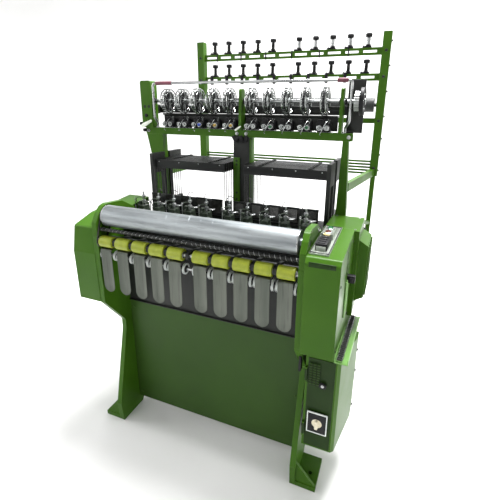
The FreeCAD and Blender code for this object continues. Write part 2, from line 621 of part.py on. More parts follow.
def cabinet():
    fall = "(tray_drop / (tray_back - tray_front))"
    front_top = "(tray_z - %s * (cabinet_front - tray_front))" % fall
    back_top = "(tray_z - %s * (cabinet_back - tray_front))" % fall
    profile = prism("cabinet_side", "x", [
        ("cabinet_front", "cabinet_low"), ("cabinet_front", front_top),
        ("cabinet_back", back_top), ("cabinet_back", "cabinet_low")],
        ("cabinet_in", "cabinet_out"))
    plan = prism("cabinet_plan", "z", [
        ("cabinet_in", "cabinet_front"), ("cabinet_corner", "cabinet_front"),
        ("cabinet_corner + 12", "cabinet_front + 12"), ("cabinet_out", "flare_depth"),
        ("cabinet_out", "cabinet_back"), ("cabinet_in", "cabinet_back")],
        ("cabinet_low - 1", "tray_z"))
    body = doc.addObject("Part::Common", "cabinet_body")
    body.Base = profile
    body.Tool = plan
    hollow = prism("cabinet_hollow", "z", [
        ("cabinet_in + cabinet_wall", "cabinet_front + cabinet_wall"),
        ("cabinet_corner - 1", "cabinet_front + cabinet_wall"),
        ("cabinet_out - 3", "flare_depth"),
        ("cabinet_out - 3", "cabinet_back - cabinet_wall"),
        ("cabinet_in + cabinet_wall", "cabinet_back - cabinet_wall")],
        ("cabinet_low + cabinet_wall", back_top + " - cabinet_wall"))
    mouth = box("cabinet_mouth", ("door_left + 8", "door_right - 8"),
                ("cabinet_front - 1", "cabinet_front + cabinet_wall + 1"),
                ("door_low + 8", back_top + " - 6"))
    case = cut("cabinet_case", body, [hollow, mouth])
    parts = [case]
    for name, low in (("low", "low_hinge_z"), ("high", "high_hinge_z")):
        parts.append(box("bracket_" + name, (FRAME_OUT, "cabinet_in"),
                         ("cabinet_back - 110", "cabinet_back - 70"), (low, low + " + 40")))
        pin_depth = "(cabinet_front - barrel_radius - 2)"
        for end, at in (("below", low + " - 9"), ("above", low + " + barrel_long + 1")):
            parts.append(box("ear_%s_%s" % (name, end),
                             ("hinge_x - 4", "hinge_x + 4"),
                             (pin_depth + " - 4", "cabinet_front"), (at, at + " + 8")))
        parts.append(rod("hinge_pin_" + name, "z", ("hinge_x", pin_depth),
                         (low + " - 5", low + " + barrel_long + 5"), "pin_radius"))
    node("electrical_cabinet", fuse("cabinet", parts))

    back = "(cabinet_front - door_gap)"
    leaf = box("door_leaf", ("door_left", "door_right"), (back + " - door_thick", back),
               ("door_low", "door_top"))
    pieces = [leaf, box("switch_plate", ("switch_x - switch_plate / 2",
                                         "switch_x + switch_plate / 2"),
                        (back + " - door_thick - 4", back + " - door_thick"),
                        ("switch_z - switch_plate_high / 2", "switch_z + switch_plate_high / 2"))]
    for name, low in (("low", "low_hinge_z"), ("high", "high_hinge_z")):
        pieces.append(rod("barrel_" + name, "z", ("hinge_x", pin_depth),
                          (low, low + " + barrel_long"), "barrel_radius"))
        pieces.append(box("barrel_tab_" + name, ("hinge_x", "door_left + 4"),
                          (back + " - door_thick", back), (low, low + " + barrel_long")))
    bores = [rod("barrel_bore_" + name, "z", ("hinge_x", pin_depth),
                 (low + " - 1", low + " + barrel_long + 1"), "pin_radius + shaft_fit")
             for name, low in (("low", "low_hinge_z"), ("high", "high_hinge_z"))]
    bores.append(rod("switch_bore", "y", ("switch_x", "switch_z"),
                     (back + " - door_thick - 5", back + " + 1"),
                     "knob_stem_radius + shaft_fit"))
    node("cabinet_door", cut("door", fuse("door_solid", pieces), bores))
    face = "(%s - door_thick - 4.3)" % back
    knob = [rod("knob_dial", "y", ("switch_x", "switch_z"), (face + " - 8", face), "knob_radius"),
            rod("knob_stem", "y", ("switch_x", "switch_z"), (face + " - 1", back + " - 0.2"),
                "knob_stem_radius"),
            box("knob_grip", ("switch_x - 6", "switch_x + 6"), (face + " - knob_long", face + " - 7"),
                ("switch_z - knob_radius + 1", "switch_z + knob_radius - 1"))]
    node("rotary_switch", fuse("knob", knob))


# ---------------------------------------------------------------- front rollers and chutes

def roller_cheeks():
    plate = prism("cheek_plate", "x", [
        ("-14", "frame_top"), ("-14", "take_up_z - 20"), ("10", "take_up_z + 18"),
        ("37", "take_up_z + 43"), ("62", "take_up_z + 50"), ("155", "take_up_z + 43"),
        ("239", "frame_top + 74"), ("239", "frame_top")], ("cheek_in", FRAME_OUT),
        {"22": [2, 3, 4, 5], "12": [1, 6]})
    bores = [rod("cheek_bore", "x", ("take_up_depth", "take_up_z"),
                 ("cheek_in - 1", FRAME_OUT + " + 1"), "take_up_shaft_radius + shaft_fit"),
             rod("cheek_rod_bore", "x", ("guide_rod_depth", "guide_rod_z"),
                 ("cheek_in - 1", FRAME_OUT + " + 1"), "guide_rod_radius")]
    right = cut("cheek_right", plate, bores)
    node("roller_cheeks", group("cheeks", [mirrored("cheek_left", right), right]))


def toothed(name, centre, span, radius, teeth, tooth):
    """A chain wheel: a disc with round teeth on its rim."""
    parts = [rod(name + "_disc", "x", centre, span, radius)]
    for step in range(teeth):
        turn = 2 * math.pi * step / teeth
        parts.append(rod("%s_tooth_%02d" % (name, step), "x", (
            "%s + %s * %.6f" % (centre[0], radius, math.cos(turn)),
            "%s + %s * %.6f" % (centre[1], radius, math.sin(turn))), span, tooth))
    return parts


def front_rollers():
    axis = ("take_up_depth", "take_up_z")
    chain_span = ("chain_x", "chain_x + chain_wide")
    parts = [rod("take_up_barrel", "x", axis, ("-take_up_half", "take_up_half"), "take_up_radius"),
             rod("take_up_spindle", "x", axis, ("-cheek_in - 20", "cheek_in + 20"),
                 "take_up_shaft_radius")]
    parts += toothed("take_up_sprocket", axis, chain_span, "take_up_sprocket_radius", 18, "2.2")
    node("take_up_roller", fuse("take_up", parts))
    axis = ("0", "delivery_z")
    parts = [rod("delivery_spindle", "x", axis, ("-" + FRAME_OUT + " + 2", FRAME_OUT + " - 2"),
                 "delivery_shaft_radius")]
    parts += toothed("delivery_sprocket", axis, chain_span, "delivery_sprocket_radius", 11, "2.2")
    node("delivery_shaft", fuse("delivery", parts))
    front = size("front_y")
    slack = 2.2 + 0.4
    chain = loop_strap((front, size("delivery_z")), size("delivery_sprocket_radius") + slack,
                       (front + size("take_up_depth"), size("take_up_z")),
                       size("take_up_sprocket_radius") + slack, size("chain_thick"),
                       size("chain_x"), size("chain_x") + size("chain_wide"))
    node("take_up_chain", shaped("chain", chain))
    sleeve = bar_through("delivery_sleeve", "x", axis,
                         ("-delivery_width / 2", "delivery_width / 2"),
                         "delivery_radius", "delivery_shaft_radius")
    node("delivery_rollers", group("sleeves", at_heads("sleeve", sleeve)))
    spreader = rod("spreader", "x", ("guide_rod_depth", "guide_rod_z"),
                   ("-%s" % FRAME_OUT, FRAME_OUT), "guide_rod_radius")
    chute_bar = box("chute_bar", ("-frame_in", "frame_in"),
                    ("rail_depth", "rail_depth + rail_deep"),
                    ("chute_top - chute_sheet - rail_high", "chute_top - chute_sheet"))
    node("front_rails", group("rails", [spreader, chute_bar]))


def hangers():
    bar_axis = ("hanger_bar_depth", "hanger_bar_z")
    bar = rod("hanger_bar", "x", bar_axis, ("-frame_in", "frame_in"), "hanger_bar_radius")
    low, high = "-hanger_thick / 2", "hanger_thick / 2"
    arm = prism("hanger_arm", "x", [
        ("-16", "delivery_z - 12"), ("-16", "delivery_z + 14"), ("4", "delivery_z + 18"),
        ("hanger_bar_depth + 18", "hanger_bar_z + 18"),
        ("hanger_bar_depth + 18", "hanger_bar_z - 14"),
        ("hanger_bar_depth - 16", "hanger_bar_z - 14"), ("8", "delivery_z - 16")],
        (low, high), {"8": [0, 1, 3]})
    holes = [rod("hanger_shaft_bore", "x", ("0", "delivery_z"), (low + " - 1", high + " + 1"),
                 "delivery_shaft_radius + shaft_fit"),
             rod("hanger_bar_bore", "x", bar_axis, (low + " - 1", high + " + 1"),
                 "hanger_bar_radius")]
    arm_open = cut("hanger_arm_open", arm, holes)
    half = "(centre_gap + head_pitch) / 2"
    places = ["0"]
    for step in range(HEADS_PER_SIDE - 1):
        places.append("-(%s + %d * head_pitch)" % (half, step))
        places.append("%s + %d * head_pitch" % (half, step))
    arms = copies("hanger", arm_open, [(at, "0", "0") for at in places])
    node("roller_hangers", group("hangers", [bar] + arms))


def chutes():
    half = "chute_wide / 2"
    blade = prism("chute_blade", "y", [
        ("-" + half, "chute_low"), (half, "chute_low"),
        (half, "chute_top"), ("-" + half, "chute_top")],
        ("chute_front", "chute_front + chute_sheet"),
        {"chute_wide / 2 - 0.5": [0, 1]})
    lip = box("chute_lip", ("-" + half, half), ("chute_front", "rail_depth + rail_deep"),
              ("chute_top - chute_sheet", "chute_top"))
    chute = fuse("chute", [blade, lip])
    node("fabric_chutes", group("chutes", at_heads("tongue", chute)))
    axis = ("ring_depth", "ring_z")
    shaft = rod("ring_shaft", "x", axis, ("-" + FRAME_OUT + " + 2", FRAME_OUT + " - 2"),
                "ring_shaft_radius")
    node("guide_ring_shaft", shaft)
    rings = []
    for side, middle in (("left", "-ring_offset"), ("right", "ring_offset")):
        low, high = "%s - ring_wide / 2" % middle, "%s + ring_wide / 2" % middle
        disc = rod("ring_disc_" + side, "x", axis, (low, high), "ring_radius - 4")
        rim_low = low if side == "left" else high + " - 3"
        rim = rod("ring_rim_" + side, "x", axis, (rim_low, rim_low + " + 3"), "ring_radius")
        hole = rod("ring_hole_" + side, "x", axis, (low + " - 1", high + " + 1"),
                   "ring_shaft_radius")
        ring = cut("ring_" + side, fuse("ring_solid_" + side, [disc, rim]), [hole])
        rings += at_heads("guide_ring_" + side, ring)
    node("guide_rings", group("rings", rings))


# ---------------------------------------------------------------- weaving heads

def weaving_heads():
    outer = box("beam_outer", ("-frame_in", "frame_in"), ("beam_front", "beam_back"),
                ("beam_low", "frame_top"))
    inner = box("beam_inner", ("-frame_in - 1", "frame_in + 1"),
                ("beam_front + beam_wall", "beam_back - beam_wall"),
                ("beam_low + beam_wall", "frame_top - beam_wall"))
    node("head_beam", cut("beam", outer, [inner]))

    half = "head_base_wide / 2"
    base_top = "(frame_top + head_base_high)"
    pin_x = "needle_shift"
    base = prism("head_base", "x", [
        ("head_front", "frame_top"), ("head_front", base_top + " - 10"),
        ("head_front + 14", base_top), ("head_back", base_top), ("head_back", "frame_top")],
        ("-" + half, half))
    tower = prism("head_tower", "y", [
        (pin_x + " - tower_wide / 2 - 6", base_top), (pin_x + " + tower_wide / 2 + 6", base_top),
        (pin_x + " + tower_wide / 2", "tower_top"), (pin_x + " - tower_wide / 2", "tower_top")],
        ("needle_depth - tower_deep / 2", "needle_depth + tower_deep / 2"))
    rest = box("head_rest", ("-" + half + " + 4", half + " - 4"),
               ("head_front + 14", "head_front + 26"),
               (base_top, "latch_z + latch_high / 2 - latch_radius - rest_gap"))
    post = box("head_post", (half + " - 12", half), ("needle_depth - 50", "needle_depth - 34"),
               (base_top, "tower_top - 8"))
    bore = rod("head_bore", "z", (pin_x, "needle_depth"), (base_top + " - 12", "tower_top + 1"),
               "needle_radius + shaft_fit")
    head = cut("head", fuse("head_solid", [base, tower, rest, post]), [bore])
    node("weaving_heads", group("heads", at_heads("head_copy", head)))

    pin = rod("needle_pin", "z", (pin_x, "needle_depth"), (base_top + " - 11.8", "needle_top"),
              "needle_radius")
    hub = rod("needle_hub", "z", (pin_x, "needle_depth"), ("arm_z", "arm_z + arm_high"),
              "hub_radius")
    arm = prism("needle_arm", "z", [
        (pin_x, "needle_depth - arm_wide / 2"),
        (pin_x + " + arm_long", "needle_depth - arm_wide / 4"),
        (pin_x + " + arm_long", "needle_depth + arm_wide / 4"),
        (pin_x, "needle_depth + arm_wide / 2")], ("arm_z + 4", "arm_z + 9"))
    needle = fuse("needle", [pin, hub, arm])
    for number, place_x in enumerate(head_places(), start=1):
        link = doc.addObject("App::Link", "needle_copy_%02d" % number)
        link.LinkedObject = needle
        link.LinkTransform = True
        place(link, place_x, "0", "0")
        node("weft_needle_%02d" % number, link)

    bar = box("latch_bar", ("-latch_half", "latch_half"),
              ("latch_front", "latch_front + latch_deep"), ("latch_z", "latch_z + latch_high"))
    wire = rod("latch_wire", "y", ("latch_shift", "latch_z + latch_high / 2"),
               ("latch_front + latch_deep - 2", "latch_tip"), "latch_radius")
    node("latch_needle_bar", fuse("latch", [bar] + at_heads("latch_needle", wire)))


def batten():
    axis = ("batten_axis_depth", "batten_axis_z")
    parts = [rod("batten_shaft", "x", axis, ("-" + FRAME_OUT + " + 2", FRAME_OUT + " - 2"),
                 "batten_shaft_radius"),
             box("batten_beam", ("-batten_half", "batten_half"),
                 ("batten_front", "batten_front + batten_deep"),
                 ("batten_z", "batten_z + batten_high"))]
    for name, middle in (("left", "-sword_x"), ("middle", "0"), ("right", "sword_x")):
        span = (middle + " - sword_thick / 2", middle + " + sword_thick / 2")
        parts.append(prism("sword_" + name, "x", [
            ("batten_axis_depth - 15", "batten_axis_z"),
            ("batten_front + 3", "batten_z + 6"), ("batten_front + batten_deep - 3", "batten_z + 6"),
            ("batten_axis_depth + 15", "batten_axis_z")], span))
        parts.append(rod("boss_" + name, "x", axis, span, "batten_shaft_radius + 10"))
    node("reed_batten", fuse("batten", parts))
    reed = box("reed", ("-reed_wide / 2", "reed_wide / 2"),
               ("reed_depth", "reed_depth + reed_thick"),
               ("batten_z + batten_high", "batten_z + batten_high + reed_high"))
    dents = [box("reed_dent_%02d" % step,
                 ("-reed_wide / 2 + 6 + %.2f" % (3.5 * step),
                  "-reed_wide / 2 + 7.7 + %.2f" % (3.5 * step)),
                 ("reed_depth - 1", "reed_depth + reed_thick + 1"),
                 ("batten_z + batten_high + 8", "batten_z + batten_high + reed_high - 8"))
             for step in range(12)]
    comb = cut("reed_comb", reed, dents)
    node("reeds", group("reed_set", at_heads("reed_copy", comb)))


def healds():
    stile_low = "heald_low + heald_rail"
    stile_high = "heald_top - heald_head"
    span = ("0", "heald_thick")
    slim = ("(heald_thick - stile_thick) / 2", "(heald_thick + stile_thick) / 2")
    bars = []
    for side, low, high in (("left", "-(frame_in - rest_gap)", "-heald_in"),
                            ("right", "heald_in", "frame_in - rest_gap")):
        bars.append(box("heald_top_" + side, (low, high), span, (stile_high, "heald_top")))
        bars.append(box("heald_bottom_" + side, (low, high), span, ("heald_low", stile_low)))
        bars.append(box("heald_stile_a_" + side, (low, low + " + heald_stile"), slim,
                        (stile_low, stile_high)))
        bars.append(box("heald_stile_b_" + side, (high + " - heald_stile", high), slim,
                        (stile_low, stile_high)))
    for name, first in (("odd", 0), ("even", 1)):
        shifts = [("0", "heald_front + %d * heald_pitch" % step, "0")
                  for step in range(first, HEALD_SHAFTS, 2)]
        pieces = []
        for bar in bars:
            pieces += copies("%s_%s" % (name, bar.Name), bar, shifts)
        node("heald_frames_" + name, group("healds_" + name, pieces))
    plates = []
    gantry_back = "gantry_depth + gantry_deep + 2"
    for side, low, high in (("left", "-frame_in - guide_thick", "-frame_in"),
                            ("right", "frame_in", "frame_in + guide_thick")):
        for name, front, back, window in (
                ("front", "guide_front", "gantry_depth - 2", "gantry_depth - 2 - guide_post"),
                ("back", gantry_back, "guide_back", "guide_back + 1")):
            plate = box("guide_%s_%s" % (name, side), (low, high), (front, back),
                        ("frame_top", "guide_top"))
            opening = box("guide_window_%s_%s" % (name, side), (low + " - 1", high + " + 1"),
                          (front + " + guide_post", window), ("comb_low_top", "comb_high_low"))
            plates.append(cut("guide_plate_%s_%s" % (name, side), plate, [opening]))
    node("heald_guides", group("guides", plates))


# ---------------------------------------------------------------- gantry and feeder

def gantry():
    span = ("gantry_depth", "gantry_depth + gantry_deep")
    outer = "-%s" % FRAME_OUT
    node("gantry_post_left", prism("post_left", "y", [
        ("left_post_in", "gantry_z"), ("left_post_out", "gantry_z"),
        ("left_post_waist", "left_waist_z"), ("left_post_root", "post_foot_z"),
        (outer, "post_foot_z"), (outer, "frame_top"), ("left_post_in", "frame_top")], span,
        {"6": [3]}))
    node("gantry_post_right", prism("post_right", "y", [
        ("right_post_in", "gantry_z"), ("right_root_in", "right_root_z"),
        (FRAME_OUT, "frame_top"), (FRAME_OUT, "post_foot_z"), ("right_root_out", "post_foot_z"),
        ("right_root_out", "right_root_z"), ("right_post_out", "gantry_z")], span,
        {"6": [4]}))
    beam = box("rail_outer", ("gantry_left", "gantry_right"), span,
               ("gantry_z", "gantry_z + gantry_high"))
    hollow = box("rail_inner", ("gantry_left - 1", "gantry_right + 1"),
                 ("gantry_depth + gantry_wall", "gantry_depth + gantry_deep - gantry_wall"),
                 ("gantry_z + gantry_wall", "gantry_z + gantry_high - gantry_wall"))
    node("gantry_rail", cut("rail", beam, [hollow]))
    node("centre_column", box("column", ("-column_half", "column_half"),
                              ("gantry_depth", "gantry_depth + column_deep"),
                              ("column_low", "gantry_z")))


def feeder():
    axis = ("feeder_depth", "feeder_z")
    rail_top = "(gantry_z + gantry_high)"
    shaft = [rod("feeder_rod", "x", axis, ("end_plate_left + 20", "feeder_end"),
                 "feeder_shaft_radius")]
    shaft += toothed("feeder_pulley", axis,
                     ("feeder_pulley_x", "feeder_pulley_x + feeder_pulley_wide"),
                     "feeder_pulley_radius", 20, "3")
    node("feeder_shaft", fuse("feeder_spindle", shaft))

    discs = []
    for side, low in (("left", "wheel_shift - wheel_gap / 2 - rim_thick"),
                      ("right", "wheel_shift + wheel_gap / 2")):
        discs.append(rod("wheel_disc_" + side, "x", axis, (low, low + " + rim_thick"),
                         "wheel_radius"))
    low = "wheel_shift - wheel_gap / 2 - rim_thick"
    high = "wheel_shift + wheel_gap / 2 + rim_thick"
    discs.append(rod("wheel_core", "x", axis, (low, high), "wheel_hub"))
    holes = [rod("wheel_bore", "x", axis, (low + " - 1", high + " + 1"), "feeder_shaft_radius")]
    for step in range(WHEEL_WINDOWS):
        turn = 2 * math.pi * step / WHEEL_WINDOWS
        holes.append(rod("wheel_window_%d" % step, "x", (
            "feeder_depth + window_circle * %.6f" % math.cos(turn),
            "feeder_z + window_circle * %.6f" % math.sin(turn)),
            (low + " - 1", high + " + 1"), "window_radius"))
    wheel = cut("wheel", fuse("wheel_solid", discs), holes)
    node("feeder_wheels", group("wheels", at_heads("wheel_copy", wheel)))

    left = prism("plate_left", "y", [
        ("end_plate_left", rail_top), ("end_plate_left + end_plate_wide", rail_top),
        ("end_plate_left + end_plate_wide", "end_plate_top"),
        ("end_plate_left", "end_plate_top")],
        ("bracket_front", "bracket_front + bracket_deep"), {"12": [2, 3]})
    plates = [left]
    for name, at in (("centre", "-centre_bracket / 2"), ("right", "right_bracket_x")):
        plates.append(prism("plate_" + name, "x", [
            ("bracket_front", rail_top), ("bracket_front + bracket_deep", rail_top),
            ("bracket_front + bracket_deep - 6", "bracket_top"),
            ("bracket_front + 6", "bracket_top")], (at, at + " + bracket_thick"),
            {"14": [2, 3]}))
    opened = []
    for name, plate in zip(("left", "centre", "right"), plates):
        bore = rod("plate_bore_" + name, "x", axis, ("gantry_left - 20", "gantry_right + 20"),
                   "feeder_shaft_radius + shaft_fit")
        opened.append(cut("plate_open_" + name, plate, [bore]))
    node("feeder_plates", group("plates", opened))

    half = "brake_wide / 2"
    block = box("brake_block", ("wheel_shift - " + half, "wheel_shift + " + half),
                ("brake_front", "brake_front + brake_deep"), (rail_top, rail_top + " + brake_high"))
    rollers = [rod("brake_roller_" + side, "y", ("wheel_shift + %s" % at, rail_top + " + 20"),
                   ("brake_front - brake_roller_long", "brake_front"), "brake_roller")
               for side, at in (("left", "-16"), ("right", "16"))]
    brake = fuse("brake", [block] + rollers)
    node("yarn_brakes", group("brakes", at_heads("brake_copy", brake)))

    front = size("front_y")
    low_y = front + size("guard_foot_depth")
    high_y = front + size("guard_depth")
    foot = size("gantry_z") + size("gantry_high")
    left_x, right_x = size("guard_left"), size("guard_right")
    right_foot = size("guard_right_foot")
    foot_z, bend_z, top_z = size("guard_foot_z"), size("guard_bend_z"), size("guard_top")
    guard = bent_tube([
        (left_x, low_y, foot), (left_x, low_y, foot_z), (left_x, high_y, bend_z),
        (left_x, high_y, top_z), (right_x, high_y, top_z), (right_x, high_y, bend_z),
        (right_foot, low_y, foot_z), (right_foot, low_y, foot)],
        size("guard_radius"), size("guard_bend"))
    node("guard_tube", shaped("guard", guard))


# ---------------------------------------------------------------- rear yarn rack

def slotted_bar(name, top):
    middle = "(rack_depth + rack_post / 2)"
    span = (middle + " - bar_thick / 2", middle + " + bar_thick / 2")
    bar = box(name + "_strip", ("rack_left + rack_post", "rack_right"), span,
              (top + " - bar_high", top))
    slots = [box("%s_slot_%02d" % (name, step),
                 ("rack_left + rack_post + %s" % ("14 + %d * slot_pitch" % step),
                  "rack_left + rack_post + 14 + %d * slot_pitch + slot_wide" % step),
                 (span[0] + " - 1", span[1] + " + 1"),
                 (top + " - bar_high / 2 - slot_high / 2", top + " - bar_high / 2 + slot_high / 2"))
             for step in range(11)]
    return cut(name, bar, slots)


def rear_rack():
    low, high = "rack_depth", "rack_depth + rack_post"
    middle = "(rack_depth + rack_post / 2)"
    back_of_gantry = "(gantry_depth + gantry_deep)"
    left_end = "rack_left + rack_post"
    stay_x = "(rack_right + rack_post / 2)"
    left = box("rack_post_left", ("rack_left", left_end), (low, high), ("rack_foot", "rack_top"))
    left_arm = box("rack_arm_left", (left_end + " - 22", left_end), (back_of_gantry, low),
                   ("rack_foot", "rack_foot + arm_deep_high"))
    right = box("rack_post_right", ("rack_right", "rack_right + rack_post"), (low, high),
                ("rack_foot", "rack_top"))
    stay = box("rack_stay_post", (stay_x + " - stay_post / 2", stay_x + " + stay_post / 2"),
               (middle + " - stay_post / 2", middle + " + stay_post / 2"),
               ("stay_low", "rack_foot"))
    right_arm = prism("rack_arm_right", "z", [
        ("right_root_out - 24", back_of_gantry), ("right_root_out - 2", back_of_gantry),
        ("rack_right + 26", low), ("rack_right + 4", low)],
        ("rack_foot", "rack_foot + arm_deep_high"))
    front = size("front_y")
    start = (size("right_root_out") - 20, front + size("gantry_depth") + size("gantry_deep") + 6,
             size("stay_front_z"))
    end = (size("rack_right") + size("rack_post") / 2,
           front + size("rack_depth") + size("rack_post") / 2, size("stay_back_z"))
    tube_start = FreeCAD.Vector(*start)
    tube_way = FreeCAD.Vector(*end) - tube_start
    tube = shaped("rack_stay_tube", Part.makeCylinder(size("stay_tube_radius"), tube_way.Length,
                                                      tube_start, tube_way))
    flange = box("rack_stay_flange", ("right_root_out - 38", "right_root_out"),
                 (back_of_gantry, back_of_gantry + " + 8"),
                 ("stay_front_z - 22", "stay_front_z + 22"))
    ledge = box("rack_ledge", (left_end, "rack_right"), (middle + " - 5", middle + " + 5"),
                ("ledge_z", "ledge_z + ledge_high"))
    rods = [rod("rack_rod_%d" % step, "x", (middle, "rod_z + %d * rod_rise" % step),
                (left_end, "rack_right"), "rod_radius") for step in range(5)]
    bores = [rod("rack_journal_bore", "x", (middle, "back_roller_z"),
                 (left_end + " - journal_long - 1", "rack_right + journal_long + 1"),
                 "journal_radius + shaft_fit")]
    frame = [cut("rack_left_open", left, bores)]
    frame.append(cut("rack_right_open", fuse("rack_right_solid", [right, stay, tube, flange]),
                     bores))
    node("rear_rack", group("rack", frame + [left_arm, right_arm, ledge] + rods
                            + [slotted_bar("upper_bar", "upper_bar_z"),
                               slotted_bar("lower_bar", "lower_bar_z")]))

    roller = [rod("back_barrel", "x", (middle, "back_roller_z"),
                  (left_end + " + 12", "rack_right - 12"), "back_roller_radius"),
              rod("back_journal", "x", (middle, "back_roller_z"),
                  (left_end + " - journal_long", "rack_right + journal_long"), "journal_radius")]
    node("back_roller", fuse("back_roll", roller))

    plate = box("knob_base", ("-knob_plate / 2 - 6", "knob_plate / 2 - 6"),
                (middle + " - knob_plate_deep / 2", middle + " + knob_plate_deep / 2"),
                ("0", "knob_plate_high"))
    post = rod("knob_stem_post", "z", ("0", middle), ("1", "knob_post_high"), "knob_post_radius")
    spring = rod("knob_spring", "z", ("0", middle), ("1", "knob_plate_high + knob_spring_high"),
                 "knob_spring_radius")
    cap = rod("knob_cap", "z", ("0", middle), ("knob_post_high - 2",
                                               "knob_post_high - 2 + knob_cap_high"),
              "knob_cap_radius")
    eye = box("knob_eye", ("-knob_plate / 2 - 6", "-knob_plate / 2 - 1"),
              (middle + " - 3", middle + " + 3"), ("1", "knob_plate_high + 14"))
    device = fuse("tension_device", [plate, post, spring, cap, eye])
    shifts = []
    for top in ("upper_bar_z", "lower_bar_z"):
        for start_x in ("knob_left", "knob_right"):
            shifts += [("%s + %d * knob_pitch" % (start_x, step), "0", top)
                       for step in range(HEADS_PER_SIDE)]
    node("rack_tensioners", group("tensioners", copies("tensioner", device, shifts)))


side_frames()
inner_structure()
drive()
left_cover()
right_cover()
pattern_unit()
control_panel()
cabinet()
roller_cheeks()
front_rollers()
hangers()
chutes()
weaving_heads()
batten()
healds()
gantry()
feeder()
rear_rack()
doc.recompute()

for item in doc.Objects:
    if "Invalid" in item.State or "Error" in item.State:
        raise RuntimeError("%s did not build: %s" % (item.Name, item.State))


def node_shape(item):
    """The node's shape in the document's frame."""
    return Part.getShape(item)


os.makedirs("parts", exist_ok=True)
for name, item in NODES:
    shape = node_shape(item)
    if shape.isNull() or not shape.isValid() or not shape.Solids:
        raise RuntimeError("%s is not a valid solid" % name)
for name, item in NODES:
    node_shape(item).exportStep("parts/%s.step" % name)
print(len(NODES), "nodes")
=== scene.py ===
"""Looks of the ten-head narrow-fabric needle loom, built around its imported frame.

The axes are the frame's own: +Z up, +X to the machine's right seen from its front, +Y to its
back. Added pieces are made in millimetres. Materials, stage, lights and camera are in metres.
"""
import json
import math

import bmesh
import bpy
from mathutils import Matrix, Vector


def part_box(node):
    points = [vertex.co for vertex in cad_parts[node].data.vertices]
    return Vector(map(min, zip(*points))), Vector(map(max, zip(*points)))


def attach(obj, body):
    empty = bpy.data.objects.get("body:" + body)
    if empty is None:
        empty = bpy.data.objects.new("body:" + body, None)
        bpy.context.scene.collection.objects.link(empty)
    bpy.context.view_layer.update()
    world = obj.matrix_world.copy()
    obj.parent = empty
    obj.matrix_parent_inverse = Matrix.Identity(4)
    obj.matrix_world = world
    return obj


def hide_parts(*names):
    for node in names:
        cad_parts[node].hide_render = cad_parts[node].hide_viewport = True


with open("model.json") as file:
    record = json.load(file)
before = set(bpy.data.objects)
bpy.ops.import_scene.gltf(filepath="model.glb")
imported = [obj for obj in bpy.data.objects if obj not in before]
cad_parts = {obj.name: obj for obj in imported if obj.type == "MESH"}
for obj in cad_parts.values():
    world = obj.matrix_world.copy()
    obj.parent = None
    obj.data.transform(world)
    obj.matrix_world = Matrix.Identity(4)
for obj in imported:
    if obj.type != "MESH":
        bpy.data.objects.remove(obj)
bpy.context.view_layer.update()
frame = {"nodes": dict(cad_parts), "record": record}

X = Vector((1, 0, 0))
Y = Vector((0, 1, 0))
Z = Vector((0, 0, 1))
HEAD_COUNT = 10
NEEDLE_BOX_TO_HEAD = 13
NEEDLE_BOX_TO_PIN = 9
MM = 0.001


def box(node):
    """A CAD node's low and high corners in millimetres."""
    return [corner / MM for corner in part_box(node)]


def needle_box(number):
    return box("weft_needle_%02d" % number)


head_x = [needle_box(number)[0].x + NEEDLE_BOX_TO_HEAD for number in range(1, HEAD_COUNT + 1)]


# ---------------------------------------------------------------- materials

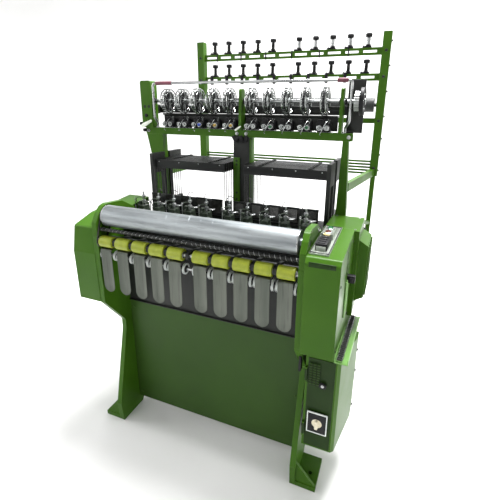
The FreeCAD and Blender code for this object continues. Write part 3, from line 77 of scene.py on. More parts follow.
def make_material(name, colour, second, patch=6.0, stretch=(1, 1, 1), rough=(0.3, 0.42),
                  metal=0.0, grain=500.0, bump=0.1, edge=None, coat=0.0, dust=None,
                  specular=0.5):
    """A finish whose colour and roughness drift over the surface, with grain in the normal.

    edge is the colour of worn edges and of a painted edge highlight, and dust the colour that lies
    in the low patches.
    """
    material = bpy.data.materials.new(name)
    material.use_nodes = True
    nodes, links = material.node_tree.nodes, material.node_tree.links
    shader = nodes["Principled BSDF"]
    shader.inputs["Metallic"].default_value = metal
    shader.inputs["Coat Weight"].default_value = coat
    shader.inputs["Coat Roughness"].default_value = 0.12
    shader.inputs["Specular IOR Level"].default_value = specular
    place = nodes.new("ShaderNodeTexCoord")
    scaled = nodes.new("ShaderNodeMapping")
    scaled.inputs["Scale"].default_value = stretch
    links.new(place.outputs["Object"], scaled.inputs["Vector"])

    def noise(scale, detail):
        made = nodes.new("ShaderNodeTexNoise")
        made.inputs["Scale"].default_value = scale
        made.inputs["Detail"].default_value = detail
        links.new(scaled.outputs["Vector"], made.inputs["Vector"])
        return made.outputs["Fac"]

    patches = noise(patch, 5.0)
    ramp = nodes.new("ShaderNodeValToRGB")
    ramp.color_ramp.elements[0].position = 0.32
    ramp.color_ramp.elements[0].color = (*colour, 1)
    ramp.color_ramp.elements[1].position = 0.70
    ramp.color_ramp.elements[1].color = (*second, 1)
    links.new(patches, ramp.inputs["Fac"])
    tone = ramp.outputs["Color"]

    def mixed(base, share, other):
        mix = nodes.new("ShaderNodeMix")
        mix.data_type = "RGBA"
        mix.inputs["B"].default_value = (*other, 1)
        links.new(share, mix.inputs["Factor"])
        links.new(base, mix.inputs["A"])
        return mix.outputs["Result"]

    def ranged(value, low, high, start, end):
        made = nodes.new("ShaderNodeMapRange")
        made.inputs["From Min"].default_value = low
        made.inputs["From Max"].default_value = high
        made.inputs["To Min"].default_value = start
        made.inputs["To Max"].default_value = end
        links.new(value, made.inputs["Value"])
        return made.outputs["Result"]

    if dust:
        tone = mixed(tone, ranged(noise(patch * 4, 8.0), 0.52, 0.78, 0.0, 0.75), dust)
    relief = nodes.new("ShaderNodeBump")
    relief.inputs["Strength"].default_value = bump
    relief.inputs["Distance"].default_value = 0.4 * MM
    links.new(noise(grain, 2.0), relief.inputs["Height"])
    # painted highlight and wear: edges, where the bevelled normal leaves the flat one, take the
    # lighter edge colour
    if edge:
        rounded = nodes.new("ShaderNodeBevel")
        rounded.samples = 3
        rounded.inputs["Radius"].default_value = 1.6 * MM
        flat = nodes.new("ShaderNodeNewGeometry")
        edge_wear_and_highlight = nodes.new("ShaderNodeVectorMath")
        edge_wear_and_highlight.operation = "DOT_PRODUCT"
        links.new(rounded.outputs["Normal"], edge_wear_and_highlight.inputs[0])
        links.new(flat.outputs["Normal"], edge_wear_and_highlight.inputs[1])
        tone = mixed(tone, ranged(edge_wear_and_highlight.outputs["Value"], 0.985, 0.86, 0.0, 0.55), edge)
        links.new(rounded.outputs["Normal"], relief.inputs["Normal"])
    links.new(tone, shader.inputs["Base Color"])
    links.new(ranged(patches, 0.3, 0.7, *rough), shader.inputs["Roughness"])
    links.new(relief.outputs["Normal"], shader.inputs["Normal"])
    return material


ALONG_X = (0.08, 1, 1)
ALONG_Z = (1, 1, 0.08)

FINISHES = {
    "green_paint": make_material(
        "green_enamel", (0.032, 0.091, 0.005), (0.040, 0.106, 0.007), patch=5.0,
        rough=(0.30, 0.42), grain=420.0, bump=0.10, edge=(0.15, 0.28, 0.06), specular=0.12),
    "dark_green_paint": make_material(
        "dark_green_enamel", (0.021, 0.053, 0.006), (0.028, 0.067, 0.009), patch=3.0,
        rough=(0.40, 0.52), grain=420.0, bump=0.10, edge=(0.07, 0.15, 0.03), specular=0.18),
    # painted light: a lighter copy of the green enamel, standing in for the light on lit faces and
    # hooks
    "light_green_paint": make_material(
        "painted_light_green_enamel", (0.11, 0.25, 0.05), (0.15, 0.31, 0.08), patch=14.0,
        rough=(0.35, 0.5), grain=420.0, bump=0.12, edge=(0.35, 0.52, 0.22), specular=0.35),
    "motor_paint": make_material(
        "motor_enamel", (0.022, 0.034, 0.028), (0.032, 0.046, 0.040), patch=9.0, rough=(0.4, 0.6),
        grain=380.0, bump=0.2, edge=(0.16, 0.19, 0.17), dust=(0.03, 0.03, 0.025)),
    "black_paint": make_material(
        "black_enamel", (0.010, 0.011, 0.010), (0.020, 0.022, 0.020), patch=9.0,
        rough=(0.38, 0.55), grain=450.0, bump=0.12, edge=(0.05, 0.05, 0.045), specular=0.22),
    "black_aluminium": make_material(
        "black_anodised", (0.008, 0.009, 0.009), (0.022, 0.024, 0.023), patch=30.0,
        rough=(0.30, 0.5), grain=700.0, bump=0.10, stretch=ALONG_X, metal=0.3,
        edge=(0.06, 0.06, 0.06), specular=0.25),
    "bright_steel": make_material(
        "ground_steel", (0.27, 0.28, 0.28), (0.42, 0.43, 0.43), patch=40.0, rough=(0.20, 0.38),
        grain=900.0, bump=0.08, stretch=ALONG_X, metal=1.0, edge=(0.62, 0.63, 0.63)),
    "emery_cover": make_material(
        "emery_skin", (0.19, 0.21, 0.22), (0.34, 0.365, 0.375), patch=34.0, rough=(0.34, 0.5),
        grain=1500.0, bump=0.4, stretch=ALONG_X, metal=0.85, dust=(0.13, 0.14, 0.145)),
    "wheel_steel": make_material(
        "plated_steel", (0.26, 0.275, 0.27), (0.42, 0.44, 0.43), patch=60.0, rough=(0.12, 0.26),
        grain=900.0, bump=0.05, metal=1.0),
    "chute_steel": make_material(
        "brushed_stainless", (0.070, 0.079, 0.066), (0.125, 0.134, 0.115), patch=26.0,
        rough=(0.32, 0.5), grain=1100.0, bump=0.15, stretch=ALONG_Z, metal=0.85,
        dust=(0.045, 0.05, 0.042)),
    "yellow_rubber": make_material(
        "lime_rubber", (0.20, 0.24, 0.014), (0.27, 0.31, 0.022), patch=45.0, rough=(0.34, 0.5),
        grain=800.0, bump=0.12, dust=(0.16, 0.20, 0.02), specular=0.35),
    "white_nylon": make_material(
        "white_nylon", (0.60, 0.64, 0.62), (0.74, 0.77, 0.75), patch=60.0, rough=(0.25, 0.4),
        grain=700.0, bump=0.06, dust=(0.55, 0.56, 0.52)),
    "black_plastic": make_material(
        "black_moulding", (0.008, 0.008, 0.009), (0.018, 0.018, 0.019), patch=50.0,
        rough=(0.45, 0.58), grain=900.0, bump=0.12, specular=0.15),
    "head_casting": make_material(
        "oiled_casting", (0.016, 0.024, 0.016), (0.045, 0.062, 0.042), patch=45.0,
        rough=(0.26, 0.55), grain=520.0, bump=0.4, metal=0.35, edge=(0.15, 0.17, 0.14),
        dust=(0.008, 0.009, 0.007)),
    "belt_rubber": make_material(
        "belt_rubber", (0.010, 0.011, 0.011), (0.030, 0.032, 0.031), patch=30.0,
        rough=(0.42, 0.6), grain=650.0, bump=0.3),
    "panel_steel": make_material(
        "brushed_panel", (0.34, 0.38, 0.33), (0.50, 0.54, 0.48), patch=55.0, rough=(0.24, 0.4),
        grain=1200.0, bump=0.12, stretch=(1, 0.06, 1), metal=0.9, edge=(0.70, 0.72, 0.68),
        dust=(0.18, 0.21, 0.17)),
    "green_plastic": make_material(
        "green_button", (0.005, 0.07, 0.02), (0.01, 0.10, 0.035), patch=90.0, rough=(0.2, 0.32),
        grain=900.0, bump=0.05),
    "red_plastic": make_material(
        "red_button", (0.06, 0.010, 0.006), (0.09, 0.016, 0.010), patch=90.0, rough=(0.2, 0.32),
        grain=900.0, bump=0.05),
    "cream_plastic": make_material(
        "cream_knob", (0.62, 0.56, 0.40), (0.70, 0.65, 0.50), patch=70.0, rough=(0.25, 0.4),
        grain=900.0, bump=0.06, dust=(0.40, 0.35, 0.24)),
}
EXTRAS = {
    "grey_casting": make_material(
        "grey_green_casting", (0.050, 0.075, 0.050), (0.095, 0.125, 0.090), patch=60.0,
        rough=(0.3, 0.5), grain=520.0, bump=0.35, metal=0.3, edge=(0.24, 0.28, 0.22),
        dust=(0.018, 0.024, 0.017)),
    "oiled_chain": make_material(
        "oiled_chain", (0.020, 0.021, 0.019), (0.055, 0.055, 0.050), patch=90.0, rough=(0.3, 0.5),
        grain=900.0, bump=0.3, metal=0.8),
    "maroon_wrap": make_material(
        "maroon_wrap", (0.085, 0.016, 0.030), (0.14, 0.03, 0.05), patch=80.0, rough=(0.45, 0.65),
        grain=500.0, bump=0.4),
    "blue_cap": make_material(
        "blue_cap", (0.02, 0.05, 0.30), (0.04, 0.08, 0.40), patch=90.0, grain=900.0),
    "amber_cap": make_material(
        "amber_cap", (0.30, 0.19, 0.03), (0.42, 0.28, 0.06), patch=90.0, grain=900.0),
    "lamp_glass": make_material(
        "lamp_lens", (0.45, 0.36, 0.18), (0.55, 0.46, 0.26), patch=90.0, rough=(0.08, 0.16),
        grain=900.0, bump=0.03, coat=0.6),
    "white_lever": make_material(
        "white_lever", (0.62, 0.66, 0.58), (0.76, 0.79, 0.72), patch=70.0, rough=(0.3, 0.45),
        grain=700.0, bump=0.1, dust=(0.40, 0.44, 0.36)),
    # painted shade: near-black green laid in holes, slots, vent gaps and the grip, where shade
    # falls; on the cabinet it is the seam's dark joint
    "recess_shade_and_dark_joint": make_material(
        "recess_shade_and_dark_joint", (0.012, 0.020, 0.009), (0.022, 0.034, 0.015), patch=40.0, rough=(0.5, 0.7),
        grain=500.0, bump=0.2, specular=0.15),
    # painted shade: a darker copy of the green enamel for the cabinet door and the cover's band,
    # which lie in shade
    "shadow_green": make_material(
        "shadow_green", (0.010, 0.026, 0.004), (0.013, 0.032, 0.005), patch=12.0,
        rough=(0.36, 0.48), grain=420.0, bump=0.12, specular=0.12),
}

for part in frame["record"]["subparts"]:
    shown = frame["nodes"][part["node"]]
    if not shown.material_slots:
        shown.data.materials.append(None)
    for material_slot in shown.material_slots:
        material_slot.material = FINISHES[part["material_slot"]]
# the cabinet door takes shadow_green, painted shade; the chain and reeds take the dark oiled steel
for node_name, look in (("take_up_chain", "oiled_chain"), ("reeds", "oiled_chain"),
                        ("cabinet_door", "shadow_green")):
    frame["nodes"][node_name].material_slots[0].material = EXTRAS[look]


# ---------------------------------------------------------------- mesh tools

def at(*values):
    return Vector(values)


def route(origin, *points):
    return [origin + at(*point) for point in points]


def middle(low, high, x=0):
    """The middle of a box as seen along X, at a given x."""
    return at(x, (low.y + high.y) / 2, (low.z + high.z) / 2)


def basis(direction):
    """Two unit vectors at right angles to a direction and to each other."""
    direction = direction.normalized()
    side = direction.cross(Z if abs(direction.z) < 0.9 else X).normalized()
    return side, direction.cross(side).normalized()


def circle(centre, axis, radius, steps=32, start=0.0, turn=2 * math.pi):
    """Points round a circle; a part turn ends on its last point."""
    side, up = basis(axis)
    last = steps if turn >= 2 * math.pi - 1e-6 else steps - 1
    angles = [start + turn * step / last for step in range(steps)]
    return [centre + (side * math.cos(angle) + up * math.sin(angle)) * radius
            for angle in angles]


class Piece:
    def __init__(self):
        self.mesh = bmesh.new()

    def skin(self, rings, closed_along=False):
        """Quads between rings of points; a ring of one point closes to a tip."""
        made = [[self.mesh.verts.new(point) for point in ring] for ring in rings]
        pairs = list(zip(made, made[1:]))
        if closed_along:
            pairs.append((made[-1], made[0]))
        for first, second in pairs:
            count = max(len(first), len(second))
            for step in range(count):
                after = (step + 1) % count
                corners = [first[step % len(first)], first[after % len(first)],
                           second[after % len(second)], second[step % len(second)]]
                face = [corner for turn, corner in enumerate(corners)
                        if corner not in corners[:turn]]
                if len(face) > 2:
                    self.mesh.faces.new(face)
        if not closed_along:
            for ring in (made[0], made[-1]):
                if len(ring) > 2:
                    self.mesh.faces.new(ring)
        return self

    def lathe(self, profile, base, axis, steps=32, hollow=False):
        """Turns (along, radius) pairs about an axis through base."""
        rings = []
        for along, radius in profile:
            centre = base + axis.normalized() * along
            rings.append(circle(centre, axis, radius, steps) if radius > 0 else [centre])
        return self.skin(rings, closed_along=hollow)

    def tube(self, points, radius, sides=8, closed=False):
        """A round bar along points; radius is one number or one for each point."""
        count = len(points)
        radii = radius if isinstance(radius, list) else [radius] * count
        ahead = [points[(turn + 1) % count] - points[turn - 1] for turn in range(count)]
        if not closed:
            ahead[0] = points[1] - points[0]
            ahead[-1] = points[-1] - points[-2]
        side = basis(ahead[0])[0]
        angles = [2 * math.pi * step / sides for step in range(sides)]
        rings = []
        for point, way, width in zip(points, ahead, radii):
            way = way.normalized()
            side = (side - way * side.dot(way)).normalized()
            up = way.cross(side)
            rings.append([point + (side * math.cos(angle) + up * math.sin(angle)) * width
                          for angle in angles])
        return self.skin(rings, closed_along=closed)

    def ring(self, centre, axis, radius, wire, steps=40, sides=10):
        return self.tube(circle(centre, axis, radius, steps), wire, sides, closed=True)

    def coil(self, base, axis, radius, wire, turns, height, per_turn=14, sides=6):
        side, up = basis(axis)
        steps = int(turns * per_turn)
        points = []
        for step in range(steps + 1):
            angle = 2 * math.pi * turns * step / steps
            points.append(base + axis.normalized() * (height * step / steps)
                          + (side * math.cos(angle) + up * math.sin(angle)) * radius)
        return self.tube(points, wire, sides)

    def block(self, low, high, soft=0.6, turn=None):
        """A box between two corners with rounded edges, turned about its middle."""
        low, high = Vector(low), Vector(high)
        made = bmesh.ops.create_cube(self.mesh, size=1.0)["verts"]
        sizes = Matrix.Diagonal((*(high - low), 1))
        around = turn.to_4x4() if turn else Matrix.Identity(4)
        place = Matrix.Translation((low + high) / 2)
        bmesh.ops.transform(self.mesh, matrix=place @ around @ sizes, verts=made)
        edges = list({edge for vert in made for edge in vert.link_edges})
        bmesh.ops.bevel(self.mesh, geom=edges, offset=soft, segments=2, profile=0.5,
                        affect="EDGES")
        return self

    def blocks(self, origin, *rows, soft=0.6):
        """Blocks from rows of low x, y, z and high x, y, z, all measured from origin."""
        for row in rows:
            self.block(origin + at(*row[:3]), origin + at(*row[3:]), soft)
        return self

    def plate(self, outline, out, thick, soft=0.4):
        """A flat outline of points made thick along out, with its edges rounded."""
        before = [self.mesh.verts.new(point) for point in outline]
        after = [self.mesh.verts.new(point + out * thick) for point in outline]
        faces = [self.mesh.faces.new(before), self.mesh.faces.new(after)]
        count = len(outline)
        for step in range(count):
            faces.append(self.mesh.faces.new((before[step], before[(step + 1) % count],
                                              after[(step + 1) % count], after[step])))
        bmesh.ops.recalc_face_normals(self.mesh, faces=faces)
        rim = {edge for face in faces[:2] for edge in face.edges}
        bmesh.ops.bevel(self.mesh, geom=list(rim), offset=soft, segments=2, profile=0.5,
                        affect="EDGES")
        return self

    def peg(self, centre, axis, radius, high, soft=2, narrow=2, steps=24):
        """A round knob with a chamfer: soft along its axis and narrow across it."""
        return self.lathe([(0, 0), (0, radius), (high - soft, radius), (high, radius - narrow),
                           (high, 0)], centre, axis, steps)

    def bolt(self, centre, axis, across=13, high=6):
        """A hexagon head on a washer."""
        half = across / 2
        self.lathe([(0, 0), (0, half * 1.55), (high * 0.22, half * 1.5), (high * 0.25, 0)],
                   centre, axis, 24)
        self.lathe([(high * 0.2, 0), (high * 0.2, half * 1.12), (high * 0.88, half * 1.12),
                    (high, half * 0.98), (high, 0)], centre, axis, 6)
        return self

    def screw(self, centre, axis, radius=4, high=2.4):
        """A round head with a socket."""
        return self.lathe([(0, 0), (0, radius), (high * 0.7, radius), (high, radius * 0.8),
                           (high, radius * 0.45), (high * 0.35, radius * 0.4),
                           (high * 0.35, 0)], centre, axis, 20)

    def repeat(self, shifts):
        """Copies what is made so far to each shift."""
        pattern = bpy.data.meshes.new("pattern")
        self.mesh.to_mesh(pattern)
        self.mesh.clear()
        for shift in shifts:
            before = len(self.mesh.verts)
            self.mesh.from_mesh(pattern)
            self.mesh.verts.ensure_lookup_table()
            bmesh.ops.translate(self.mesh, vec=shift, verts=self.mesh.verts[before:])
        bpy.data.meshes.remove(pattern)
        return self

    def along_x(self, places):
        return self.repeat([at(place, 0, 0) for place in places])

    def finish(self, name, body, finish, slot=None, replaces=(), sharp=35):
        """Makes the object, gives it its finish and lets it ride on its body."""
        bmesh.ops.recalc_face_normals(self.mesh, faces=self.mesh.faces)
        data = bpy.data.meshes.new(name)
        self.mesh.to_mesh(data)
        self.mesh.free()
        data.transform(Matrix.Scale(MM, 4))
        data.shade_smooth()
        data.set_sharp_from_angle(angle=math.radians(sharp))
        made = bpy.data.objects.new(name, data)
        bpy.context.scene.collection.objects.link(made)
        data.materials.append(FINISHES.get(finish) or EXTRAS[finish])
        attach(made, body)
        if replaces:
            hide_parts(*replaces)


# ---------------------------------------------------------------- front rollers and chutes

def delivery_rollers():
    """Rubber sleeves with rounded ends, and a steel washer at each end."""
    low, high = box("delivery_rollers")
    half = high.x - head_x[-1]
    radius = (high.z - low.z) / 2
    centre = middle(low, high)
    bore = 9.2
    soft = 3
    edge = [(-half + soft * (1 - math.cos(turn)), radius - soft * (1 - math.sin(turn)))
            for turn in (0.0, 0.4, 0.8, 1.2, math.pi / 2)]
    other = [(-along, out) for along, out in reversed(edge)]
    sleeves = Piece().lathe([(-half, bore)] + edge + other + [(half, bore)], centre, X, 48,
                            hollow=True)
    sleeves.along_x(head_x).finish("rubber_sleeves", "delivery", "yellow_rubber",
                                   replaces=["delivery_rollers"])
    washers = Piece()
    for side in (-1, 1):
        washers.lathe([(0, bore), (0, 14), (1.4, 14), (1.8, 13), (1.8, bore)],
                      centre + X * side * (half + 0.3), X * side, 28, hollow=True)
    washers.along_x(head_x).finish("sleeve_washers", "delivery", "bright_steel")


def fabric_chutes():
    """Ten dished tongues that curl back over the chute bar."""
    low, high = box("fabric_chutes")
    half = head_x[0] - low.x
    sheet, dish, curl, least_half = 1.4, 3.2, 9, 5
    across, down, bend = 14, 34, 6
    straight = high.z - curl - low.z
    rows = []
    for step in range(down + 1):
        rise = straight * step / down
        wide = half if rise > half else math.sqrt(half ** 2 - (half - rise) ** 2)
        rows.append((low.y, low.z + rise, max(wide, least_half), dish * min(1, rise / half)))
    for step in range(1, bend + 1):
        turn = math.pi / 2 * step / bend
        rows.append((low.y + curl * (1 - math.cos(turn)),
                     high.z - curl + curl * math.sin(turn), half, dish * (1 - step / bend)))
    rows.append((high.y, high.z, half, 0))
    shares = [2 * step / across - 1 for step in range(across + 1)]
    outer = [[at(share * wide, depth + deep * (1 - share ** 2), z) for share in shares]
             for depth, z, wide, deep in rows]
    rings = []
    for number, line in enumerate(outer):
        before = outer[max(number - 1, 0)][across // 2]
        after = outer[min(number + 1, len(outer) - 1)][across // 2]
        out = X.cross(after - before).normalized() * -sheet
        rings.append(line + [point - out for point in reversed(line)])
    Piece().skin(rings).along_x(head_x).finish(
        "fabric_tongues", "frame", "chute_steel", replaces=["fabric_chutes"], sharp=50)
    screws = Piece()
    for side in (-1, 1):
        screws.screw(at(side * half * 0.55, high.y - 6, high.z), Z)
    screws.along_x(head_x).finish("tongue_screws", "frame", "bright_steel")


def guide_rings():
    """White rings with two flanges on dark hubs, in pairs that face each other."""
    low, high = box("guide_rings")
    radius = (high.z - low.z) / 2
    edge = radius - 0.8
    wide, rim, groove, bore = 8, 2.4, 18.6, 7.2
    rings = Piece()
    hubs = Piece()
    for side in (-1, 1):
        face = middle(low, high) + X * side * (head_x[0] - low.x)
        rings.lathe([(0, 16), (0, edge), (0.6, radius), (rim - 0.6, radius), (rim, edge),
                     (rim, groove), (wide - rim, groove), (wide - rim, edge),
                     (wide - rim + 0.6, radius), (wide - 0.6, radius), (wide, edge),
                     (wide, 16)], face, X * -side, 44, hollow=True)
        hubs.lathe([(1, bore), (1, 10), (2, 11), (2, 16.2), (wide - 2, 16.2), (wide - 2, 11),
                    (wide - 1, 10), (wide - 1, bore)], face, X * -side, 36, hollow=True)
    rings.along_x(head_x).finish("flanged_rings", "ring_shaft", "white_nylon",
                                 replaces=["guide_rings"])
    hubs.along_x(head_x).finish("ring_hubs", "ring_shaft", "black_plastic")


def spreader_thread():
    """Right- and left-hand ridges that run out from the middle of the spreader rod."""
    low, high = box("front_rails")
    radius = 8
    centre = at(0, low.y + radius, high.z - radius)
    end = box("roller_cheeks")[1].x - 30
    pitch, per_turn = 20, 14
    steps = int(end / pitch * per_turn)
    ridge = Piece()
    for side in (-1, 1):
        points = []
        for step in range(steps + 1):
            angle = 2 * math.pi * step / per_turn
            points.append(centre + X * side * (3 + end * step / steps)
                          + (Y * math.cos(angle) + Z * math.sin(angle)) * radius)
        ridge.tube(points, 0.9, 6)
    ridge.finish("spreader_ridge", "frame", "bright_steel")


def take_up_rims():
    """Ground end rims and the emery strip's clamped seam."""
    low, high = box("take_up_roller")
    centre = middle(low, high)
    radius = (high.z - low.z) / 2
    half = high.x - 33
    bore = 38
    rims = Piece()
    for side in (-1, 1):
        rims.lathe([(0, bore), (0, radius - 0.4), (0.5, radius + 0.5), (5, radius + 0.5),
                    (5.5, radius - 0.6), (5.5, bore)], centre + X * side * (half - 5),
                   X * side, 64, hollow=True)
    rims.finish("take_up_rims", "take_up", "bright_steel")
    pitch = 52
    turns = int(2 * (half - 6) / pitch)
    seam = Piece().coil(centre - X * (turns * pitch / 2), X, radius, 0.45, turns,
                        turns * pitch, per_turn=40, sides=5)
    seam.finish("emery_seam", "take_up", "emery_cover")


# ---------------------------------------------------------------- weaving heads

def weaving_heads():
    """Cover plates, rods, wire hooks, springs and screws on each head."""
    low, high = box("weaving_heads")
    top = high.z
    pin_y = (needle_box(1)[0].y + needle_box(1)[1].y) / 2
    base = at(0, low.y, low.z + 25)
    pin_top = at(0, pin_y, top)
    plates = Piece().blocks(base, (-28, 30, 0, -6, 66, 9), (8, 30, 0, 29, 58, 12))
    plates.block((-30, pin_y - 18, base.z + 20), (-21, pin_y + 18, top + 4), 1.5)
    plates.peg(pin_top + at(-25, 0, 2), Z, 9, 18, steps=20)
    plates.tube(route(pin_top, (-24, -14, -8), (-26, -24, 14), (-22, -36, 34), (-10, -40, 46),
                      (6, -36, 48), (16, -28, 40)), 1.9)
    plates.along_x(head_x).finish("head_plates", "frame", "head_casting")
    caps = Piece().blocks(base, (-25, 9, -1, 11, 29, 30), soft=3)
    caps.blocks(base, (-21, 29, 9, -4, 60, 22), soft=2.5)
    caps.peg(base + at(-8, 19, 30), Z, 8, 7, soft=1)
    caps.along_x(head_x).finish("head_caps", "frame", "grey_casting", slot="head_casting")
    hooks = Piece().tube(route(pin_top, (-25, 14, -6), (-25, 14, 40), (-23, 14, 66),
                               (-14, 14, 82), (0, 12, 85), (12, 8, 77)), 1.6)
    hooks.along_x(head_x[1:]).finish("thread_hooks", "frame", "black_paint")

    bright = Piece()
    rod_top = at(-15, base.y + 44, top)
    bright.tube([base + at(-15, 44, 4), rod_top + at(0, 0, 38)], 2.2, 10)
    bright.ring(rod_top + at(0, 0, 42), Y, 4, 1, 20, 6)
    bright.tube(route(base, (-34, 74, 26), (26, 74, 26)), 2.6, 10)
    bright.coil(base + at(25, 68, 0), Z, 4.2, 0.8, 9, 34)
    for place in route(base, (-22, 38, 9), (-12, 58, 9), (13, 36, 12), (24, 52, 12)):
        bright.screw(place, Z, 3.2)
    for place in route(base, (-24, 7, -10), (24, 7, -10)):
        bright.bolt(place, at(0, -0.6, 0.8), 8, 5)
    bright.along_x(head_x).finish("head_rods", "frame", "bright_steel")

    arm_up = 20.5
    for number in range(1, HEAD_COUNT + 1):
        box_low, box_high = needle_box(number)
        pin = at(box_low.x + NEEDLE_BOX_TO_PIN, pin_y, 0)
        arc = [pin + at(41 * math.cos(turn), 30 * math.sin(turn), top + arm_up)
               for turn in (0.0, -0.25, -0.5, -0.75, -1.0)]
        blade = Piece().tube(arc, [2.4, 2.1, 1.8, 1.4, 0.7])
        blade.lathe([(0, 4.2), (0, 8), (1, 9), (9, 9), (10, 8), (10, 4.2)],
                    pin + Z * (box_high.z - 26), Z, 24, hollow=True)
        blade.finish("needle_blade_%02d" % number, "needle_%02d" % number, "bright_steel")


def reed_rims():
    """Channels along the top and bottom of each reed, and more wires between its slots."""
    low, high = box("reeds")
    half = head_x[0] - low.x
    rim_high = 7
    rims = Piece()
    for z in (low.z, high.z - rim_high):
        rims.block((-half - 1, low.y - 1, z), (half + 1, high.y + 1, z + rim_high), 1)
    rims.along_x(head_x).finish("reed_rims", "batten", "black_aluminium")
    clamps = Piece()
    clamps.block((-15.4, low.y - 2, low.z - 6), (15.4, high.y + 8, high.z - 3), 1.5)
    clamps.block((-10, low.y - 9, low.z + 2), (10, low.y - 4, low.z + 26), 1)
    between = [(left + right) / 2 for left, right in zip(head_x, head_x[1:])]
    clamps.along_x(between).finish("reed_clamps", "batten", "black_aluminium")
    wires = Piece()
    count = 26
    wire_y = (low.y + high.y) / 2
    for step in range(count):
        x = (half - 5) * (2 * step / (count - 1) - 1)
        wires.tube([at(x, wire_y, low.z + 6), at(x, wire_y, high.z - 6)], 0.4, 4)
    wires.along_x(head_x).finish("reed_wires", "batten", "bright_steel")


def heald_fittings():
    """Rivets and lifting hooks on the heald shafts."""
    pitch, thick, centre_gap = 40, 9, 50
    for body, node in (("heald_odd", "heald_frames_odd"), ("heald_even", "heald_frames_even")):
        low, high = box(node)
        hooks = Piece()
        rivets = Piece()
        for step in range(int(round((high.y - low.y) / pitch)) + 1):
            y = low.y + step * pitch
            if y + thick > high.y + 1:
                break
            for left, right in ((low.x, -centre_gap), (centre_gap, high.x)):
                for share in (0.06, 0.36, 0.64, 0.94):
                    rivets.screw(at(left + (right - left) * share, y, high.z - 10), -Y, 3, 1)
                for share in (0.2, 0.8):
                    hooks.blocks(at(left + (right - left) * share, y, high.z),
                                 (-9, 2, 0, 9, thick - 2, 5), soft=1)
        rivets.finish(body + "_rivets", body, "bright_steel")
        hooks.finish(body + "_hooks", body, "black_aluminium")


# ---------------------------------------------------------------- covers and panel

def screws_at(name, finish, places, axis, radius, high):
    """One piece of screws, fixed to the frame."""
    screws = Piece()
    for place in places:
        screws.screw(at(*place), axis, radius, high)
    screws.finish(name, "frame", finish)


def right_cover_details():
    """The recessed band and slots in painted shade, the grip hole's painted shade, latch, hooks and
    screws.
    """
    low, high = box("right_cover")
    front, side = low.y, high.x
    grip_y = -322
    grip = at(side, grip_y, high.z)
    # painted shade: a dark band laid on the cover's front for the shade in its recess
    Piece().block((low.x + 14, front - 1.2, high.z - 44), (side - 16, front + 2, high.z - 26),
                  1).finish("cover_band", "frame", "shadow_green")
    # painted shade: dark strips for the shade in the cover's slots
    slots = Piece()
    slots.block((side - 36, front - 2, high.z - 42), (side - 20, front + 2, high.z - 32), 1)
    slots.blocks(grip, (-1, -4, -89, 0.8, 0, -34), (-1, 50, -160, 0.8, 55, -100),
                 (-1, 50, -238, 0.8, 55, -178), soft=0.4)
    slots.finish("cover_slot_shade", "frame", "recess_shade_and_dark_joint")
    # painted shade: a dark block standing in for the shade inside the grip hole
    grip_shade = Piece().blocks(grip, (-26, -8, -141, -14, 34, -84), soft=2)
    grip_shade.finish("grip_hole_shade", "frame", "recess_shade_and_dark_joint")
    latch = Piece().blocks(grip, (-2, 34, -176, 30, 56, -146), soft=2)
    latch.peg(grip + at(14, 35, -161), -Y, 9, 7)
    latch.finish("cover_latch", "frame", "black_plastic")
    # hooks in the painted light green, for the highlights they catch
    hooks = Piece()
    for y, top, drop in ((4, -155, 150), (36, -175, 120)):
        bend = grip + at(3.5, y, top)
        arc = circle(bend, X, 9, 12, 0.0, math.pi)
        hooks.tube([at(bend.x, arc[0].y, bend.z - drop)] + arc
                   + [at(bend.x, arc[-1].y, bend.z - drop + 20)], 3.2, 10)
    hooks.finish("cover_hooks", "frame", "light_green_paint")
    screws_at("cover_screws", "black_paint",
              ((side, front + 24, high.z - 110), (side, front + 24, low.z + 24),
               (side, high.y - 24, low.z + 24), (side, high.y - 24, high.z - 40)), X, 5, 2.6)


def housing_details():
    """Black knobs and cover screws on the pattern housing."""
    low, high = box("pattern_housing")
    knobs = Piece()
    for z in (high.z - 60, low.z + 130):
        knobs.lathe([(0, 0), (0, 5), (8, 5), (10, 9), (20, 10), (23, 7), (23, 0)],
                    at(high.x - 44, high.y, z), Y, 24)
        knobs.lathe([(0, 0), (0, 6), (6, 6), (8, 10), (15, 10), (17, 7), (17, 0)],
                    at(high.x - 44, high.y - 20, z - 50), X, 24)
    knobs.finish("housing_knobs", "frame", "black_plastic")
    screws_at("housing_screws", "bright_steel",
              [(x, y, high.z) for y in (low.y + 18, high.y - 18)
               for x in (low.x + 20, high.x - 64)], Z, 4.5, 2.4)


def left_cover_details():
    """Screws on the left cover's side."""
    low, high = box("left_cover")
    screws_at("left_cover_screws", "black_paint",
              ((low.x, low.y + 40, low.z + 26), (low.x, low.y + 40, low.z + 200),
               (low.x, high.y - 26, low.z + 26), (low.x, high.y - 26, high.z - 60)), -X, 5, 2.6)


